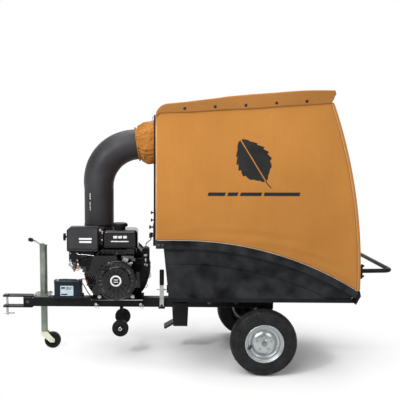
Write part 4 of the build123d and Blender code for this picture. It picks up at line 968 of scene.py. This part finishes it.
def cord_curve(name, points, finish, node):
    """A cord as a smooth curve through its route, standing for its CAD node."""
    curve = bpy.data.curves.new(name, "CURVE")
    curve.dimensions, curve.bevel_depth, curve.bevel_resolution, curve.resolution_u = "3D", 0.003, 4, 10
    spline = curve.splines.new("NURBS")
    spline.points.add(len(points) - 1)
    for target, p in zip(spline.points, points):
        target.co = (*at(*p), 1)
    spline.order_u, spline.use_endpoint_u = 3, True
    curve.materials.append(finish)
    obj = bpy.data.objects.new(name, curve)
    bpy.context.scene.collection.objects.link(obj)
    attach(obj, "trailer")
    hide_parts(node)


# ---------------------------------------------------------------- camera, floor and light
CAMERA_PLACE = (-644.3, -3919.8, 1381.3)
CAMERA_PITCH, CAMERA_YAW = 0.095, -0.024    # radians down, and to the right
CAMERA_LENS, CAMERA_SHIFT = 53.26, (0.1404, 0.0105)


def camera():
    data = bpy.data.cameras.new("camera")
    obj = bpy.data.objects.new("camera", data)
    bpy.context.scene.collection.objects.link(obj)
    data.sensor_width = 36
    data.lens = CAMERA_LENS
    data.shift_x, data.shift_y = CAMERA_SHIFT
    data.clip_end = 100
    obj.location = at(*CAMERA_PLACE)
    level = math.cos(CAMERA_PITCH)
    forward = Vector((math.sin(CAMERA_YAW) * level, math.cos(CAMERA_YAW) * level, -math.sin(CAMERA_PITCH)))
    obj.rotation_euler = forward.to_track_quat("-Z", "Y").to_euler()
    bpy.context.scene.camera = obj


# The grey pool of floor under the machine, in metres in the frame.
POOL_X, POOL_Y, POOL_HALF_X, POOL_HALF_Y = 0.30, -0.05, 1.55, 1.0


def floor_material():
    """Matt white paper lit by the lamps round the machine; away from it the paper glows white, painted light
    that stands for the falloff of the lamps' light.
    """
    mat = surface("floor", (0.80, 0.80, 0.80), (0.84, 0.84, 0.84), 0.9, patch=0.4, bump=0.0)
    nodes, links = mat.node_tree.nodes, mat.node_tree.links
    place, pool = nodes.new("ShaderNodeTexCoord"), nodes.new("ShaderNodeMapping")
    pool.inputs["Scale"].default_value = (1 / POOL_HALF_X, 1 / POOL_HALF_Y, 0)
    pool.inputs["Location"].default_value = (-POOL_X / POOL_HALF_X, -POOL_Y / POOL_HALF_Y, 0)
    distance, fade = nodes.new("ShaderNodeVectorMath"), nodes.new("ShaderNodeMapRange")
    distance.operation = "LENGTH"
    fade.interpolation_type = "SMOOTHSTEP"
    fade.inputs["From Min"].default_value, fade.inputs["From Max"].default_value = 0.30, 1.0
    # The white glow away from the pool is painted light.
    glow, mix = nodes.new("ShaderNodeEmission"), nodes.new("ShaderNodeMixShader")
    links.new(place.outputs["Object"], pool.inputs["Vector"])
    links.new(pool.outputs["Vector"], distance.inputs[0])
    links.new(distance.outputs["Value"], fade.inputs["Value"])
    links.new(fade.outputs["Result"], mix.inputs["Fac"])
    links.new(mat.node_tree.nodes["Principled BSDF"].outputs["BSDF"], mix.inputs[1])
    links.new(glow.outputs["Emission"], mix.inputs[2])
    links.new(mix.outputs["Shader"], nodes["Material Output"].inputs["Surface"])
    return mat


def studio_world():
    """White behind the machine, and dim in front of it, so that black parts stay black."""
    world = bpy.data.worlds.new("studio")
    world.use_nodes = True
    nodes, links = world.node_tree.nodes, world.node_tree.links
    place = nodes.new("ShaderNodeTexCoord")
    split = nodes.new("ShaderNodeSeparateXYZ")
    fade = nodes.new("ShaderNodeMapRange")
    fade.interpolation_type = "SMOOTHSTEP"
    fade.inputs["From Min"].default_value, fade.inputs["From Max"].default_value = -0.2, 0.6
    fade.inputs["To Min"].default_value, fade.inputs["To Max"].default_value = 0.12, 1.0
    links.new(place.outputs["Generated"], split.inputs["Vector"])
    links.new(split.outputs["Y"], fade.inputs["Value"])
    links.new(fade.outputs["Result"], nodes["Background"].inputs["Color"])
    return world


FLOOR_HALF = 30                   # metres
LIT_POINT = (-300, 0, 700)        # what every light is aimed at
LIGHTS = (
    # name, place in mm, side in metres, watts
    ("key", (-1900, -2600, 3400), 3.2, 128),
    ("top", (-200, 300, 3600), 3.0, 112),
    ("fill", (1900, -2800, 1900), 1.6, 26),
    ("spark", (-2300, -2500, 2500), 0.3, 48),
)


def studio_floor():
    mesh = bpy.data.meshes.new("floor")
    corners = [(x * FLOOR_HALF, y * FLOOR_HALF, 0) for x, y in ((-1, -1), (1, -1), (1, 1), (-1, 1))]
    mesh.from_pydata(corners, [], [(0, 1, 2, 3)])
    floor = bpy.data.objects.new("floor", mesh)
    bpy.context.scene.collection.objects.link(floor)
    mesh.materials.append(floor_material())


def studio():
    studio_floor()
    bpy.context.scene.world = studio_world()
    for name, place, side, watts in LIGHTS:
        light = bpy.data.lights.new(name, "AREA")
        light.size, light.energy = side, watts
        obj = bpy.data.objects.new(name, light)
        bpy.context.scene.collection.objects.link(obj)
        obj.location = at(*place)
        obj.rotation_euler = (at(*LIT_POINT) - obj.location).to_track_quat("-Z", "Y").to_euler()
    bpy.context.scene.view_settings.view_transform = "Standard"


# ---------------------------------------------------------------- the whole machine
finish_cad()
soften_edges(("fan_shroud", "recoil_cover", "fuel_tank", "air_cleaner_cover", "muffler", "switch_box",
              "battery", "blower_housing", "crankcase", "drawbar", "chassis_frame", "tub_frame"), 1.2)
canvas_shell()
canvas_cap()
collar()
rear_cloth()
for side in (-1, 1):
    leaf_mark(side)
    stripe_marks(side)
for label, side in SIDES:
    road_wheel(label, side)
recoil_details()
shroud_details()
control_details()
carburetor_details()
small_fittings()
printed_marks()
tank_and_scroll_details()
battery_label()
chute_marks()
frame_bolts()
transport_wheel_nuts()
cord_curve("red_lead", RED_POINTS, RED_WIRE, "battery_lead_red")
cord_curve("black_lead", BLACK_POINTS, RUBBER, "battery_lead_black")
cord_curve("interlock_lead", CABLE_POINTS, RUBBER, "interlock_cable")
camera()
studio()
